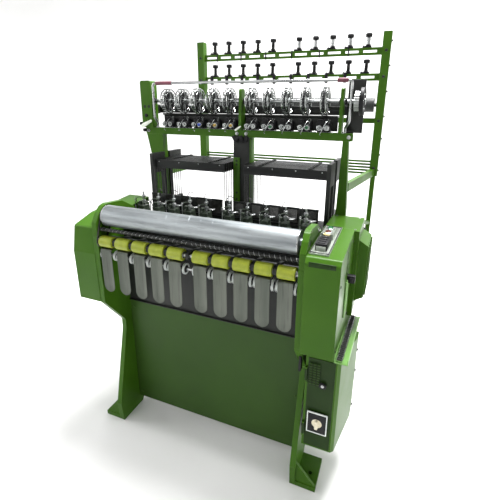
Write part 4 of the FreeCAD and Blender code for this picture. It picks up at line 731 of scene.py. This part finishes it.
def tray_chain():
    """The pattern chain that lies in the tray, and the plate behind it."""
    low, high = box("pattern_tray")
    cover_z = box("right_cover")[0].z + 1
    corners = ((low.y + 24, cover_z), (low.y + 24, low.z + 66), (high.y - 2, low.z + 2),
               (high.y - 2, cover_z))
    back = Piece().plate([at(low.x - 4, y, z) for y, z in corners], X, 3.4, 0.6)
    back.finish("tray_back_plate", "frame", "green_paint")
    fall = 72
    run = high.y - low.y
    slope = at(0, run, -fall).normalized()
    up = X.cross(slope)
    start = at(0, low.y + 10, low.z + fall + 12)
    pitch = 15.5
    count = int((run / slope.y - 20) / pitch)
    left, long = low.x + 9, 17
    rollers = Piece()
    links = Piece()
    for step in range(count):
        joint = start + slope * (pitch * step)
        rollers.lathe([(0, 0), (0, 4.2), (long, 4.2), (long, 0)], joint + X * left, X, 12)
        if step == count - 1:
            continue
        ahead = joint + slope * pitch
        inset = 2 if step % 2 else 0
        for x in (left - 2 + inset, left + long + inset):
            links.plate([X * x + joint - slope * 3 - up * 4, X * x + ahead + slope * 3 - up * 4,
                         X * x + ahead + slope * 3 + up * 4, X * x + joint - slope * 3 + up * 4],
                        X, 1.6)
    rollers.finish("chain_rollers", "frame", "black_paint")
    links.finish("chain_links", "frame", "bright_steel")


def control_panel():
    """Border, switch block, lamp, button collars and button caps on the panel."""
    low, high = box("control_panel")
    start = box("start_button")
    stop = box("stop_button")
    middle_x = (start[0].x + start[1].x) / 2
    top = high.z
    slope_up, slope_long = 14, 312
    tilt = Matrix.Rotation(math.atan2(slope_up, slope_long), 3, "X")

    def face(y):
        return low.z + 6 + (y - low.y) * slope_up / slope_long

    border = Piece()
    centre_z = face((low.y + high.y) / 2)
    for x in (low.x + 3, high.x - 3):
        border.block((x - 2, low.y + 3, centre_z - 1), (x + 2, high.y - 3, centre_z + 2.2),
                     0.6, tilt)
    for y in (low.y + 5, high.y - 5):
        border.block((low.x + 3, y - 2, face(y) - 1), (high.x - 3, y + 2, face(y) + 2.2),
                     0.6, tilt)
    border.finish("panel_border", "frame", "black_paint")

    first = low.y + 0.10 * (high.y - low.y)
    last = stop[0].y - 36
    keys = 4
    key_pitch = (last - first) / keys
    blocks = Piece()
    blocks.block((middle_x - 20.5, first, face(low.y) - 2), (middle_x + 20.5, last, top - 1), 2)
    for step in range(keys):
        blocks.blocks(at(middle_x, first + key_pitch * step, top),
                      (-13, key_pitch * 0.2, -3, 13, key_pitch * 0.8, 2), soft=1)
    blocks.finish("panel_switches", "frame", "black_plastic")
    lamp = Piece().lathe([(0, 0), (0, 13), (4, 13), (6, 11), (9, 8), (10.5, 4), (11, 0)],
                         at(middle_x, stop[0].y - 19, top - 2), Z)
    lamp.finish("panel_lamp", "frame", "lamp_glass")

    collars = Piece()
    for button_low, button_high in (start, stop):
        centre = (button_low + button_high) / 2
        collars.lathe([(0, 11.6), (0, 16), (2.5, 16), (3.5, 14.5), (3.5, 11.6)],
                      at(centre.x, centre.y, top - 0.2), Z, hollow=True)
    for x in (low.x + 9, high.x - 9):
        for y in (low.y + 12, high.y - 12):
            collars.screw(at(x, y, face(y) - 0.4), Z, 3.5, 2.2)
    collars.finish("button_collars", "frame", "bright_steel")
    for name, finish, (button_low, button_high) in (("start", "green_plastic", start),
                                                    ("stop", "red_plastic", stop)):
        centre = (button_low + button_high) / 2
        radius = (button_high.x - button_low.x) / 2
        deep = button_high.z - button_low.z
        cap = Piece().lathe([(0, 0), (0, radius), (deep - 2, radius), (deep - 0.6, radius - 0.8),
                             (deep, radius - 2.2), (deep - 0.7, 4), (deep - 0.9, 0)],
                            at(centre.x, centre.y, button_low.z), Z, 36)
        cap.finish(name + "_cap", name, finish, replaces=[name + "_button"])


def cabinet_details():
    """Louvres, lock, switch plate, dial and grip on the door; seam and bolts on the case."""
    low = box("cabinet_door")[0]
    top = box("cabinet_door")[1].z
    knob_low, knob_high = box("rotary_switch")
    case_low, case_high = box("electrical_cabinet")
    knob = (knob_low + knob_high) / 2
    leaf = low.y + 4
    vent = at(knob.x - 49, leaf, top)
    rows, columns, row_pitch, column_pitch = 9, 3, 11, 15
    vents = Piece()
    # painted shade: a dark strip behind each row of louvres for the shade in the vent gaps
    shade = Piece()
    for row in range(rows):
        for column in range(columns):
            corner = vent + at(6 + column_pitch * column, 0, -24 - row_pitch * row)
            vents.block(corner + at(0, -1.6, 0), corner + at(10.5, 1, 5), 0.8,
                        Matrix.Rotation(0.30, 3, "X"))
        z = -28 - row_pitch * row
        shade.blocks(vent, (4, -0.4, z, 50, 0.5, z + 3), soft=0.2)
    vents.finish("door_louvres", "door", "dark_green_paint")
    shade.finish("door_vent_gap_shade", "door", "recess_shade_and_dark_joint")
    lock_place = at(knob.x + 11, leaf, knob.z + 180)
    lock = Piece().lathe([(0, 0), (0, 14), (3, 14), (5, 12), (5, 8), (3.5, 7), (3.5, 0)],
                         lock_place, -Y)
    lock.finish("door_lock", "door", "black_plastic")
    key = Piece().lathe([(0, 0), (0, 6.2), (2.2, 5.8), (2.4, 0)], lock_place - Y * 3, -Y, 20)
    key.blocks(lock_place, (-1.2, -7.2, -4, 1.2, -4.8, 4), soft=0.3)
    key.finish("lock_key", "door", "bright_steel")
    half, tall = 38, 47
    dial_face = at(knob.x, low.y, knob.z)
    deep = leaf - low.y
    trim = Piece()
    trim.blocks(dial_face, (-half - 2, -1, -tall, 2 - half, deep, tall),
                (half - 2, -1, -tall, half + 2, deep, tall),
                (-half - 2, -1, -tall - 2, half + 2, deep, 2 - tall),
                (-half - 2, -1, tall - 2, half + 2, deep, tall + 2), soft=0.5)
    trim.finish("door_trim", "door", "white_nylon")
    dial = Piece().blocks(dial_face, (2 - half, -0.4, 2 - tall, half - 2, 2, tall - 2))
    dial.finish("switch_dial", "door", "black_plastic")

    radius = (knob_high.x - knob_low.x) / 2
    grip_y = knob_high.y - 14
    grip = Piece().lathe([(0, 0), (0, radius), (5, radius), (7.5, radius - 2), (8, radius - 5),
                          (8, 0)], at(knob.x, knob_high.y - 6.6, knob.z), -Y, 40)
    outline = ((-7, -13), (-5, -19), (5, -19), (7, -13), (6, 14), (3, 19), (-3, 19), (-6, 14))
    grip.plate([at(knob.x + side, grip_y, knob.z + up) for side, up in outline], -Y,
               grip_y - knob_low.y, 2)
    grip.finish("switch_grip", "switch", "cream_plastic", replaces=["rotary_switch"])

    edge = at(case_high.x, case_high.y, case_low.z)
    seam = Piece().blocks(edge, (-1, -58, 200, 0.6, -1, 203), soft=0.3)
    seam.finish("cabinet_seam", "frame", "recess_shade_and_dark_joint")
    bolts = Piece()
    for place in route(edge, (0, -30, 40), (0, -30, 225), (0, -30, 330)):
        bolts.bolt(place, X, 9, 5)
    bolts.finish("cabinet_bolts", "frame", "black_paint")
    hinge = Piece().blocks(at(case_low.x, case_low.y, case_high.z), (-12, 4, -90, -2, 30, -22),
                           soft=2)
    hinge.finish("cabinet_hinge_block", "frame", "black_plastic")


# ---------------------------------------------------------------- frames and apron

def frame_bolts():
    """Hexagon heads on the side frames and roller cheeks."""
    web = box("front_apron")[1].x + 24
    low, high = box("roller_cheeks")
    front = low.y + 14
    tube_spots = ((200, 250), (580, 250), (620, 900))
    cheek_spots = ((low.y + 18, low.z + 20), (high.y - 22, low.z + 20), (high.y - 60, high.z - 40))
    circle_radius = 18
    bolts = Piece()
    for side in (-1, 1):
        for depth, z in tube_spots:
            for turn in range(3):
                angle = 2 * math.pi * turn / 3
                bolts.bolt(at(side * web, front + depth + circle_radius * math.cos(angle),
                              z + circle_radius * math.sin(angle)), X * side, 11, 6)
        for y, z in cheek_spots:
            bolts.bolt(at(side * high.x, y, z), X * side, 10, 5)
    bolts.finish("frame_bolts", "frame", "bright_steel")


def apron_screws():
    """A black sheet of painted shade over the apron's top, and screws along the apron's edges."""
    low, high = box("front_apron")
    # painted shade: a black sheet in front of the apron's upper part, for the shade behind the
    # tongues
    shade_sheet = Piece()
    shade_sheet.block((low.x + 2, low.y - 2.5, high.z - 256), (high.x - 2, low.y + 0.5, high.z + 150), 1)
    shade_sheet.block((low.x + 2, low.y - 9, high.z - 259), (high.x - 2, low.y - 1, high.z - 254), 1)
    shade_sheet.finish("painted_shade_sheet", "frame", "black_paint")
    screws_at("apron_screws", "dark_green_paint",
              [(x, low.y, low.z + up) for x in (low.x + 22, high.x - 22)
               for up in (30, 290, 550)], -Y, 6, 3)


# ---------------------------------------------------------------- gantry and feeder

def gantry_details():
    """The slotted strap, the column's side strip and crown, bolts and the rail's wire."""
    low, high = box("centre_column")
    rail_low, rail_high = box("gantry_rail")
    strap_low, strap_high = 1090, 1322
    strap_left, strap_right = low.x + 1, low.x + 36
    hole_heights = (1306, 1288, 1146, 1112)
    strap = Piece()
    strap.block((strap_left, low.y - 6, strap_low), (strap_right, low.y - 1, strap_high), 1.2)
    strap.block((high.x - 3, low.y + 2, low.z + 2), (high.x + 6, high.y - 6, high.z - 4), 1.2)
    strap.finish("column_strap", "frame", "green_paint")
    # painted shade: thin dark discs on the strap for the shade in its holes
    hole_shade = Piece()
    for z in hole_heights:
        hole_shade.lathe([(0, 0), (0, 6), (0.6, 5.6), (0.7, 0)],
                    at((strap_left + strap_right) / 2, low.y - 6, z), -Y, 24)
    hole_shade.finish("strap_hole_shade", "frame", "recess_shade_and_dark_joint")
    crown = Piece()
    for x, y, turn in ((-20, -8, 0.5), (4, -10, -0.3), (26, -6, 0.2), (-34, -4, -0.6)):
        base = at(x, low.y + y, rail_low.z - 22)
        crown.block(base + at(-9, -4, 0), base + at(9, 6, 30), 1.5, Matrix.Rotation(turn, 3, "Y"))
    crown.finish("column_crown", "frame", "black_plastic")
    wire_ends = (rail_low.x + 70, rail_high.x - 40)
    wire = Piece().tube([at(x, rail_low.y - 4, rail_high.z + 2) for x in wire_ends], 1.2, 6)
    for x in wire_ends:
        wire.screw(at(x, rail_low.y + 4, rail_high.z), Z, 4, 5)
    for x in (rail_low.x + 16, rail_high.x - 14, -24, 24):
        wire.bolt(at(x, rail_low.y, (rail_low.z + rail_high.z) / 2), -Y, 11, 6)
    wire.finish("rail_wire", "frame", "bright_steel")


def feeder_wheels():
    """Lantern wheels: two spoked rims on a hub, joined by bright cross pins."""
    low, high = box("feeder_wheels")
    radius = (high.z - low.z) / 2
    shift = (low.x + high.x) / 2
    half = high.x - shift - head_x[-1]
    centre = middle(low, high, shift)
    spokes, pins, lean = 14, 28, 0.32
    wheels = Piece()
    for side in (-1, 1):
        face = centre + X * side * (half - 1.6)
        wheels.ring(face, X, radius - 2.6, 2.4, 56, 8)
        wheels.ring(face, X, radius * 0.72, 1.6, 44, 6)
        for step in range(spokes):
            turn = 2 * math.pi * step / spokes
            inner = Y * math.cos(turn) + Z * math.sin(turn)
            outer = Y * math.cos(turn + lean) + Z * math.sin(turn + lean)
            wheels.tube([face + inner * 14, face + outer * (radius - 3)], 1.5, 6)
    wheels.lathe([(-half, 8.2), (-half, 15), (3 - half, 16), (half - 3, 16), (half, 15),
                  (half, 8.2)], centre, X, hollow=True)
    for step in range(pins):
        turn = 2 * math.pi * step / pins
        pin = centre + (Y * math.cos(turn) + Z * math.sin(turn)) * (radius - 2.8)
        wheels.tube([pin - X * (half - 1), pin + X * (half - 1)], 1.3, 6)
    wheels.along_x(head_x).finish("lantern_wheels", "feeder", "wheel_steel",
                                  replaces=["feeder_wheels"])
    cores = Piece().lathe([(-7, 16), (-7, 42), (-4, 46), (4, 46), (7, 42), (7, 16)], centre, X,
                          40, hollow=True)
    cores.along_x(head_x).finish("wheel_cores", "feeder", "black_plastic")


def yarn_brakes():
    """Discs, springs, caps and bent wire guides on each brake, and the channel behind."""
    low, high = box("yarn_brakes")
    shift = -6
    corner = at(shift, low.y, low.z)
    eye = at(shift + 22, low.y + 22, high.z)
    bright = Piece()
    for side in (-16, 16):
        bright.lathe([(0, 0), (0, 11), (1, 12.4), (2, 11), (2, 5), (7, 4), (7, 0)],
                     corner + at(side, 0, 20), -Y, 28)
    bright.coil(corner + at(-16, -2, 20), -Y, 6, 0.8, 4, 9)
    bright.ring(eye + Z * 9, Y, 5, 1, 22, 6)
    bright.tube([eye + Z * 4, eye - Z * 6], 1.2, 6)
    bright.along_x(head_x).finish("brake_discs", "frame", "wheel_steel")
    wires = Piece().tube(route(at(0, low.y, low.z), (12, 4, 48), (8, -6, 44), (0, -14, 26),
                               (-10, -18, 2), (-16, -14, -8), (-12, -8, -10)), 1.3)
    wires.along_x(head_x).finish("yarn_wires", "frame", "wheel_steel")
    dark = Piece()
    dark.block((shift - 30, low.y + 24, high.z - 4), (shift - 6, high.y + 2, high.z + 12), 2)
    dark.peg(at(shift + 4, low.y + 20, high.z), at(0, -0.5, 0.85), 8, 16, steps=20)
    dark.along_x(head_x).finish("brake_knobs", "frame", "black_plastic")
    left = at(head_x[0], high.y, low.z)
    long = head_x[-1] - head_x[0]
    channel = Piece().blocks(left, (-60, 3, 4, long + 50, 8, 72), (-60, 3, 66, long + 50, 20, 71),
                             soft=1.5)
    channel.tube(route(left, (-58, -6, 68), (long + 48, -6, 68)), 5, 12)
    channel.finish("brake_channel", "frame", "black_paint")
    for name, finish, places in (("blue_caps", "blue_cap", (2,)),
                                 ("amber_caps", "amber_cap", (3, 4)),
                                 ("green_caps", "green_plastic", (6, 8))):
        caps = Piece().peg(corner + at(16, -2, 20), -Y, 7, 8)
        caps.along_x([head_x[place] for place in places]).finish(name, "frame", finish)


def feeder_ends():
    """Knobs, tape beam, belt wheel, levers, sleeves and painted hole shade at the feeder's ends."""
    low, high = box("feeder_plates")
    guard_low, guard_high = box("guard_tube")
    rail_high = box("gantry_rail")[1]
    shaft_low, shaft_high = box("feeder_shaft")
    centre = middle(shaft_low, shaft_high)
    foot = at(low.x, low.y, rail_high.z)
    # painted shade: thin dark discs for the shade in the end plate's holes
    hole_shade = Piece()
    for place in route(foot, (22, 0, 104), (46, 0, 104)):
        hole_shade.lathe([(0, 0), (0, 8), (1, 7.5), (1, 0)], place, -Y, 24)
    hole_shade.finish("end_plate_hole_shade", "frame", "recess_shade_and_dark_joint")
    knobs = Piece()
    for place in route(foot, (-8, 8, 18), (10, 8, -14), (28, 8, 60)):
        knobs.peg(place, -Y, 9, 15, soft=3, narrow=3)
    knobs.finish("end_knobs", "frame", "black_plastic")
    plate_y = centre.y + 42
    plate_left, plate_right = 484, 556
    beam = Piece()
    for corner_low, corner_high in (
            ((plate_left, plate_y, rail_high.z), (plate_right, plate_y + 6, high.z - 8)),
            ((plate_left, rail_high.y - 16, rail_high.z),
             (plate_left + 38, plate_y + 6, rail_high.z + 8)),
            ((head_x[0] - 94, plate_y, rail_high.z + 74),
             (plate_left + 2, plate_y + 8, rail_high.z + 112)),
            ((low.x + 6, high.y - 2, rail_high.z + 70),
             (low.x + 64, plate_y + 8, rail_high.z + 116))):
        beam.block(corner_low, corner_high, 2)
    beam.finish("tape_beam", "frame", "black_paint")
    wheel_x = shaft_high.x - 6
    wheel = Piece().lathe([(0, 8.2), (0, 18), (4, 20), (4, 46), (0, 48), (0, 56), (1.5, 58),
                           (3, 56), (15, 56), (16.5, 58), (18, 56), (18, 48), (14, 46),
                           (14, 20), (18, 18), (18, 8.2)], centre + X * wheel_x, X, 48,
                          hollow=True)
    wheel.finish("feeder_belt_wheel", "feeder", "black_plastic")
    studs = Piece()
    for stud in circle(centre + X * (wheel_x + 14), X, 34, 6):
        studs.screw(stud, X, 5, 3.4)
    studs.lathe([(0, 8), (0, 13), (4, 13), (5, 11), (5, 0)], centre + X * (wheel_x + 17.5), X, 28)
    studs.finish("belt_wheel_studs", "feeder", "wheel_steel")
    rail_foot = at(0, low.y, rail_high.z)
    levers = Piece()
    for start, end in (route(foot, (-2, -14, 4), (68, -20, 34)),
                       route(rail_foot, (-24, -6, -2), (8, -12, 18))):
        along = end - start
        across = at(-along.z, 0, along.x).normalized() * along.length * 0.13
        waist = start + along * 0.3
        levers.plate([start - across * 0.7, waist - across, end - across * 0.6,
                      end + along * 0.065, end + across * 0.6, waist + across,
                      start + across * 0.7], Y, 6, 1.5)
    levers.finish("feeder_levers", "frame", "white_lever")
    wraps = Piece()
    for left, right in ((guard_low.x + 26, guard_low.x + 118),
                        (guard_high.x - 66, guard_high.x - 22)):
        long = right - left
        wraps.lathe([(0, 0), (0, 8), (2, 9), (long - 2, 9), (long, 8), (long, 0)],
                    at(left, guard_low.y + 6, guard_high.z - 6), X, 24)
    wraps.finish("guard_wraps", "frame", "maroon_wrap")
    collars = Piece()
    for x in (low.x + 66, -12, 10, plate_left - 28, plate_left - 4):
        collars.lathe([(0, 8.1), (0, 13), (1, 14), (8, 14), (9, 13), (9, 8.1)], centre + X * x,
                      X, 28, hollow=True)
    collars.finish("shaft_collars", "feeder", "black_plastic")


# ---------------------------------------------------------------- rear rack

TENSIONER_HIGH = 71


def tension_devices():
    """Mushroom knobs on posts, each with a spring, two discs and a wire eye."""
    low, high = box("rack_tensioners")
    first = low.x + 29
    row_shift, pitch, in_row = 536, 95, 5
    centre_y = (low.y + high.y) / 2
    places = [at(start + pitch * step, centre_y, z) for z in (low.z, high.z - TENSIONER_HIGH)
              for start in (first, first + row_shift) for step in range(in_row)]
    zero = at(0, 0, 0)
    black = Piece().block((-29, -11, 0), (17, 11, 8), 1)
    black.lathe([(3, 0), (3, 13), (8, 14), (10, 9), (14, 8.5), (50, 8), (51, 15), (54, 17),
                 (66, 17), (70, 14), (TENSIONER_HIGH, 0)], zero, Z, 36)
    black.repeat(places).finish("tension_knobs", "frame", "black_plastic",
                                replaces=["rack_tensioners"])
    sleeves = Piece().lathe([(15, 8), (15, 9.9), (47, 9.9), (47, 8)], zero, Z, 28, hollow=True)
    sleeves.repeat(places[-in_row:]).finish("tension_sleeves", "frame", "bright_steel")
    bright = Piece().coil(at(0, 0, 16), Z, 9.4, 0.9, 9, 30)
    for along in (11, 13):
        bright.lathe([(along, 8), (along, 14.4), (along + 1, 15), (along + 1, 8)], zero, Z, 28,
                     hollow=True)
    bright.ring(at(-24, 0, 16), Y, 4.4, 1, 22, 6)
    bright.tube([at(-24, 0, 6), at(-24, 0, 11.6)], 1.3, 6)
    bright.repeat(places).finish("tension_springs", "frame", "oiled_chain", slot="bright_steel")


def rack_details():
    """Clips under the bars, post bolts and post caps."""
    low, high = box("rear_rack")
    bars_low, bars_high = box("rack_tensioners")
    bar_y = (bars_low.y + bars_high.y) / 2
    lower_top = bars_low.z
    upper_top = bars_high.z - TENSIONER_HIGH
    clips = Piece()
    for step in range(9):
        clips.blocks(at(low.x + 90 + 104 * step, bar_y, lower_top), (-8, -12, -46, 8, 6, 6), soft=2)
    for step in range(6):
        clips.blocks(at(low.x + 130 + 160 * step, bar_y, upper_top), (-3, -6, -40, 3, 6, 2), soft=1)
    clips.finish("rack_clips", "frame", "black_plastic")
    post = 44
    front = bar_y - post / 2
    bolts = Piece()
    for x in (low.x + post / 2, high.x - post / 2):
        for z in (upper_top - 19, lower_top - 19, 1496, 1236):
            bolts.bolt(at(x, front, z), -Y, 10, 6)
    for z in (1222, 1310, 1400, 1520, 1650, 1780, 1900):
        bolts.bolt(at(high.x, bar_y, z), X, 9, 7)
    bolts.finish("rack_bolts", "frame", "black_paint")
    caps = Piece()
    for x in (low.x, high.x - post):
        caps.blocks(at(x, front, high.z), (1, 1, -1, post - 1, post - 1, 0), soft=0.4)
    caps.finish("post_caps", "frame", "black_plastic")


# ---------------------------------------------------------------- motor and drive

def motor_details():
    """Screws on the motor's fan cowl and terminal box."""
    low, high = box("drive_motor")
    axis_y = (low.y + high.y) / 2
    axis_z = box("motor_pulley")[0].z + 53
    cowl_radius = 66
    screws = Piece()
    for x in (low.x + 90, low.x + 150):
        for y in (axis_y - 28, axis_y + 28):
            screws.screw(at(x, y, high.z), Z)
    for turn in range(8):
        angle = 2 * math.pi * turn / 8
        screws.screw(at(low.x, axis_y + cowl_radius * math.cos(angle),
                        axis_z + cowl_radius * math.sin(angle)), -X, 5)
    screws.finish("motor_screws", "frame", "bright_steel")


# ---------------------------------------------------------------- stage, light and camera

def make_stage():
    """A round pale floor, in metres, that curves up into a wall far behind the machine."""
    reach, curve, wall, steps = 5.5, 1.6, 7.0, 64
    profile = [(0.01, 0.0), (reach, 0.0)]
    profile += [(reach + curve * math.sin(turn), curve * (1 - math.cos(turn)))
                for turn in (0.2, 0.4, 0.6, 0.8, 1.0, 1.2, 1.4, math.pi / 2)]
    profile += [(reach + curve, wall)]
    mesh = bmesh.new()
    rings = [[mesh.verts.new(point) for point in circle(Vector((0, 0, z)), Z, radius, steps)]
             for radius, z in profile]
    for first, second in zip(rings, rings[1:]):
        for step in range(steps):
            after = (step + 1) % steps
            mesh.faces.new((first[step], first[after], second[after], second[step]))
    mesh.faces.new(rings[0])
    bmesh.ops.recalc_face_normals(mesh, faces=mesh.faces)
    floor = bpy.data.objects.new("studio_floor", bpy.data.meshes.new("studio_floor"))
    mesh.to_mesh(floor.data)
    mesh.free()
    floor.data.shade_smooth()
    bpy.context.scene.collection.objects.link(floor)
    floor.data.materials.append(make_material(
        "pale_floor", (0.74, 0.74, 0.735), (0.78, 0.78, 0.775), patch=1.2, rough=(0.6, 0.75),
        grain=120, bump=0.03))


def area_light(name, place, target, size, power):
    data = bpy.data.lights.new(name, "AREA")
    data.shape = "DISK"
    data.size = size
    data.energy = power
    light = bpy.data.objects.new(name, data)
    light.location = place
    light.rotation_euler = (Vector(target) - Vector(place)).to_track_quat("-Z", "Y").to_euler()
    bpy.context.scene.collection.objects.link(light)


def make_light():
    world = bpy.data.worlds.new("studio")
    bpy.context.scene.world = world
    world.use_nodes = True
    sky = world.node_tree.nodes["Background"]
    sky.inputs["Color"].default_value = (1, 1, 1, 1)
    sky.inputs["Strength"].default_value = 0.30
    area_light("top_light", (0.5, 0.9, 4.6), (0, 0.1, 1.0), 2.0, 600)
    area_light("right_light", (3.6, -0.4, 2.4), (0.2, 0, 0.9), 1.8, 34)
    area_light("left_light", (-3.6, -1.0, 2.4), (-0.4, -0.2, 1.0), 1.8, 60)
    area_light("front_light", (-1.8, -3.4, 2.6), (0, 0, 0.9), 1.8, 26)
    area_light("back_light", (-0.6, 4.6, 4.8), (0, 6.5, 0.4), 3.0, 300)
    bpy.context.scene.view_settings.view_transform = "Standard"


def make_camera():
    looking = Vector((-0.3487, 0.8892, -0.2962))
    roll = 0.011
    data = bpy.data.cameras.new("camera")
    data.sensor_width = 36
    data.lens = 26.09
    data.shift_x = -0.0087
    data.shift_y = -0.0556
    camera = bpy.data.objects.new("camera", data)
    camera.location = (0.7187, -1.5939, 1.5475)
    turn = looking.to_track_quat("-Z", "Y").to_matrix()
    camera.rotation_euler = (turn @ Matrix.Rotation(roll, 3, "Z")).to_euler()
    bpy.context.scene.collection.objects.link(camera)
    bpy.context.scene.camera = camera


for make in (make_camera, make_light, make_stage, delivery_rollers, fabric_chutes, guide_rings,
             spreader_thread, take_up_rims, weaving_heads, reed_rims, heald_fittings,
             right_cover_details, housing_details, left_cover_details, tray_chain,
             control_panel, cabinet_details, frame_bolts, apron_screws, gantry_details,
             feeder_wheels, yarn_brakes, feeder_ends, tension_devices, rack_details,
             motor_details):
    make()
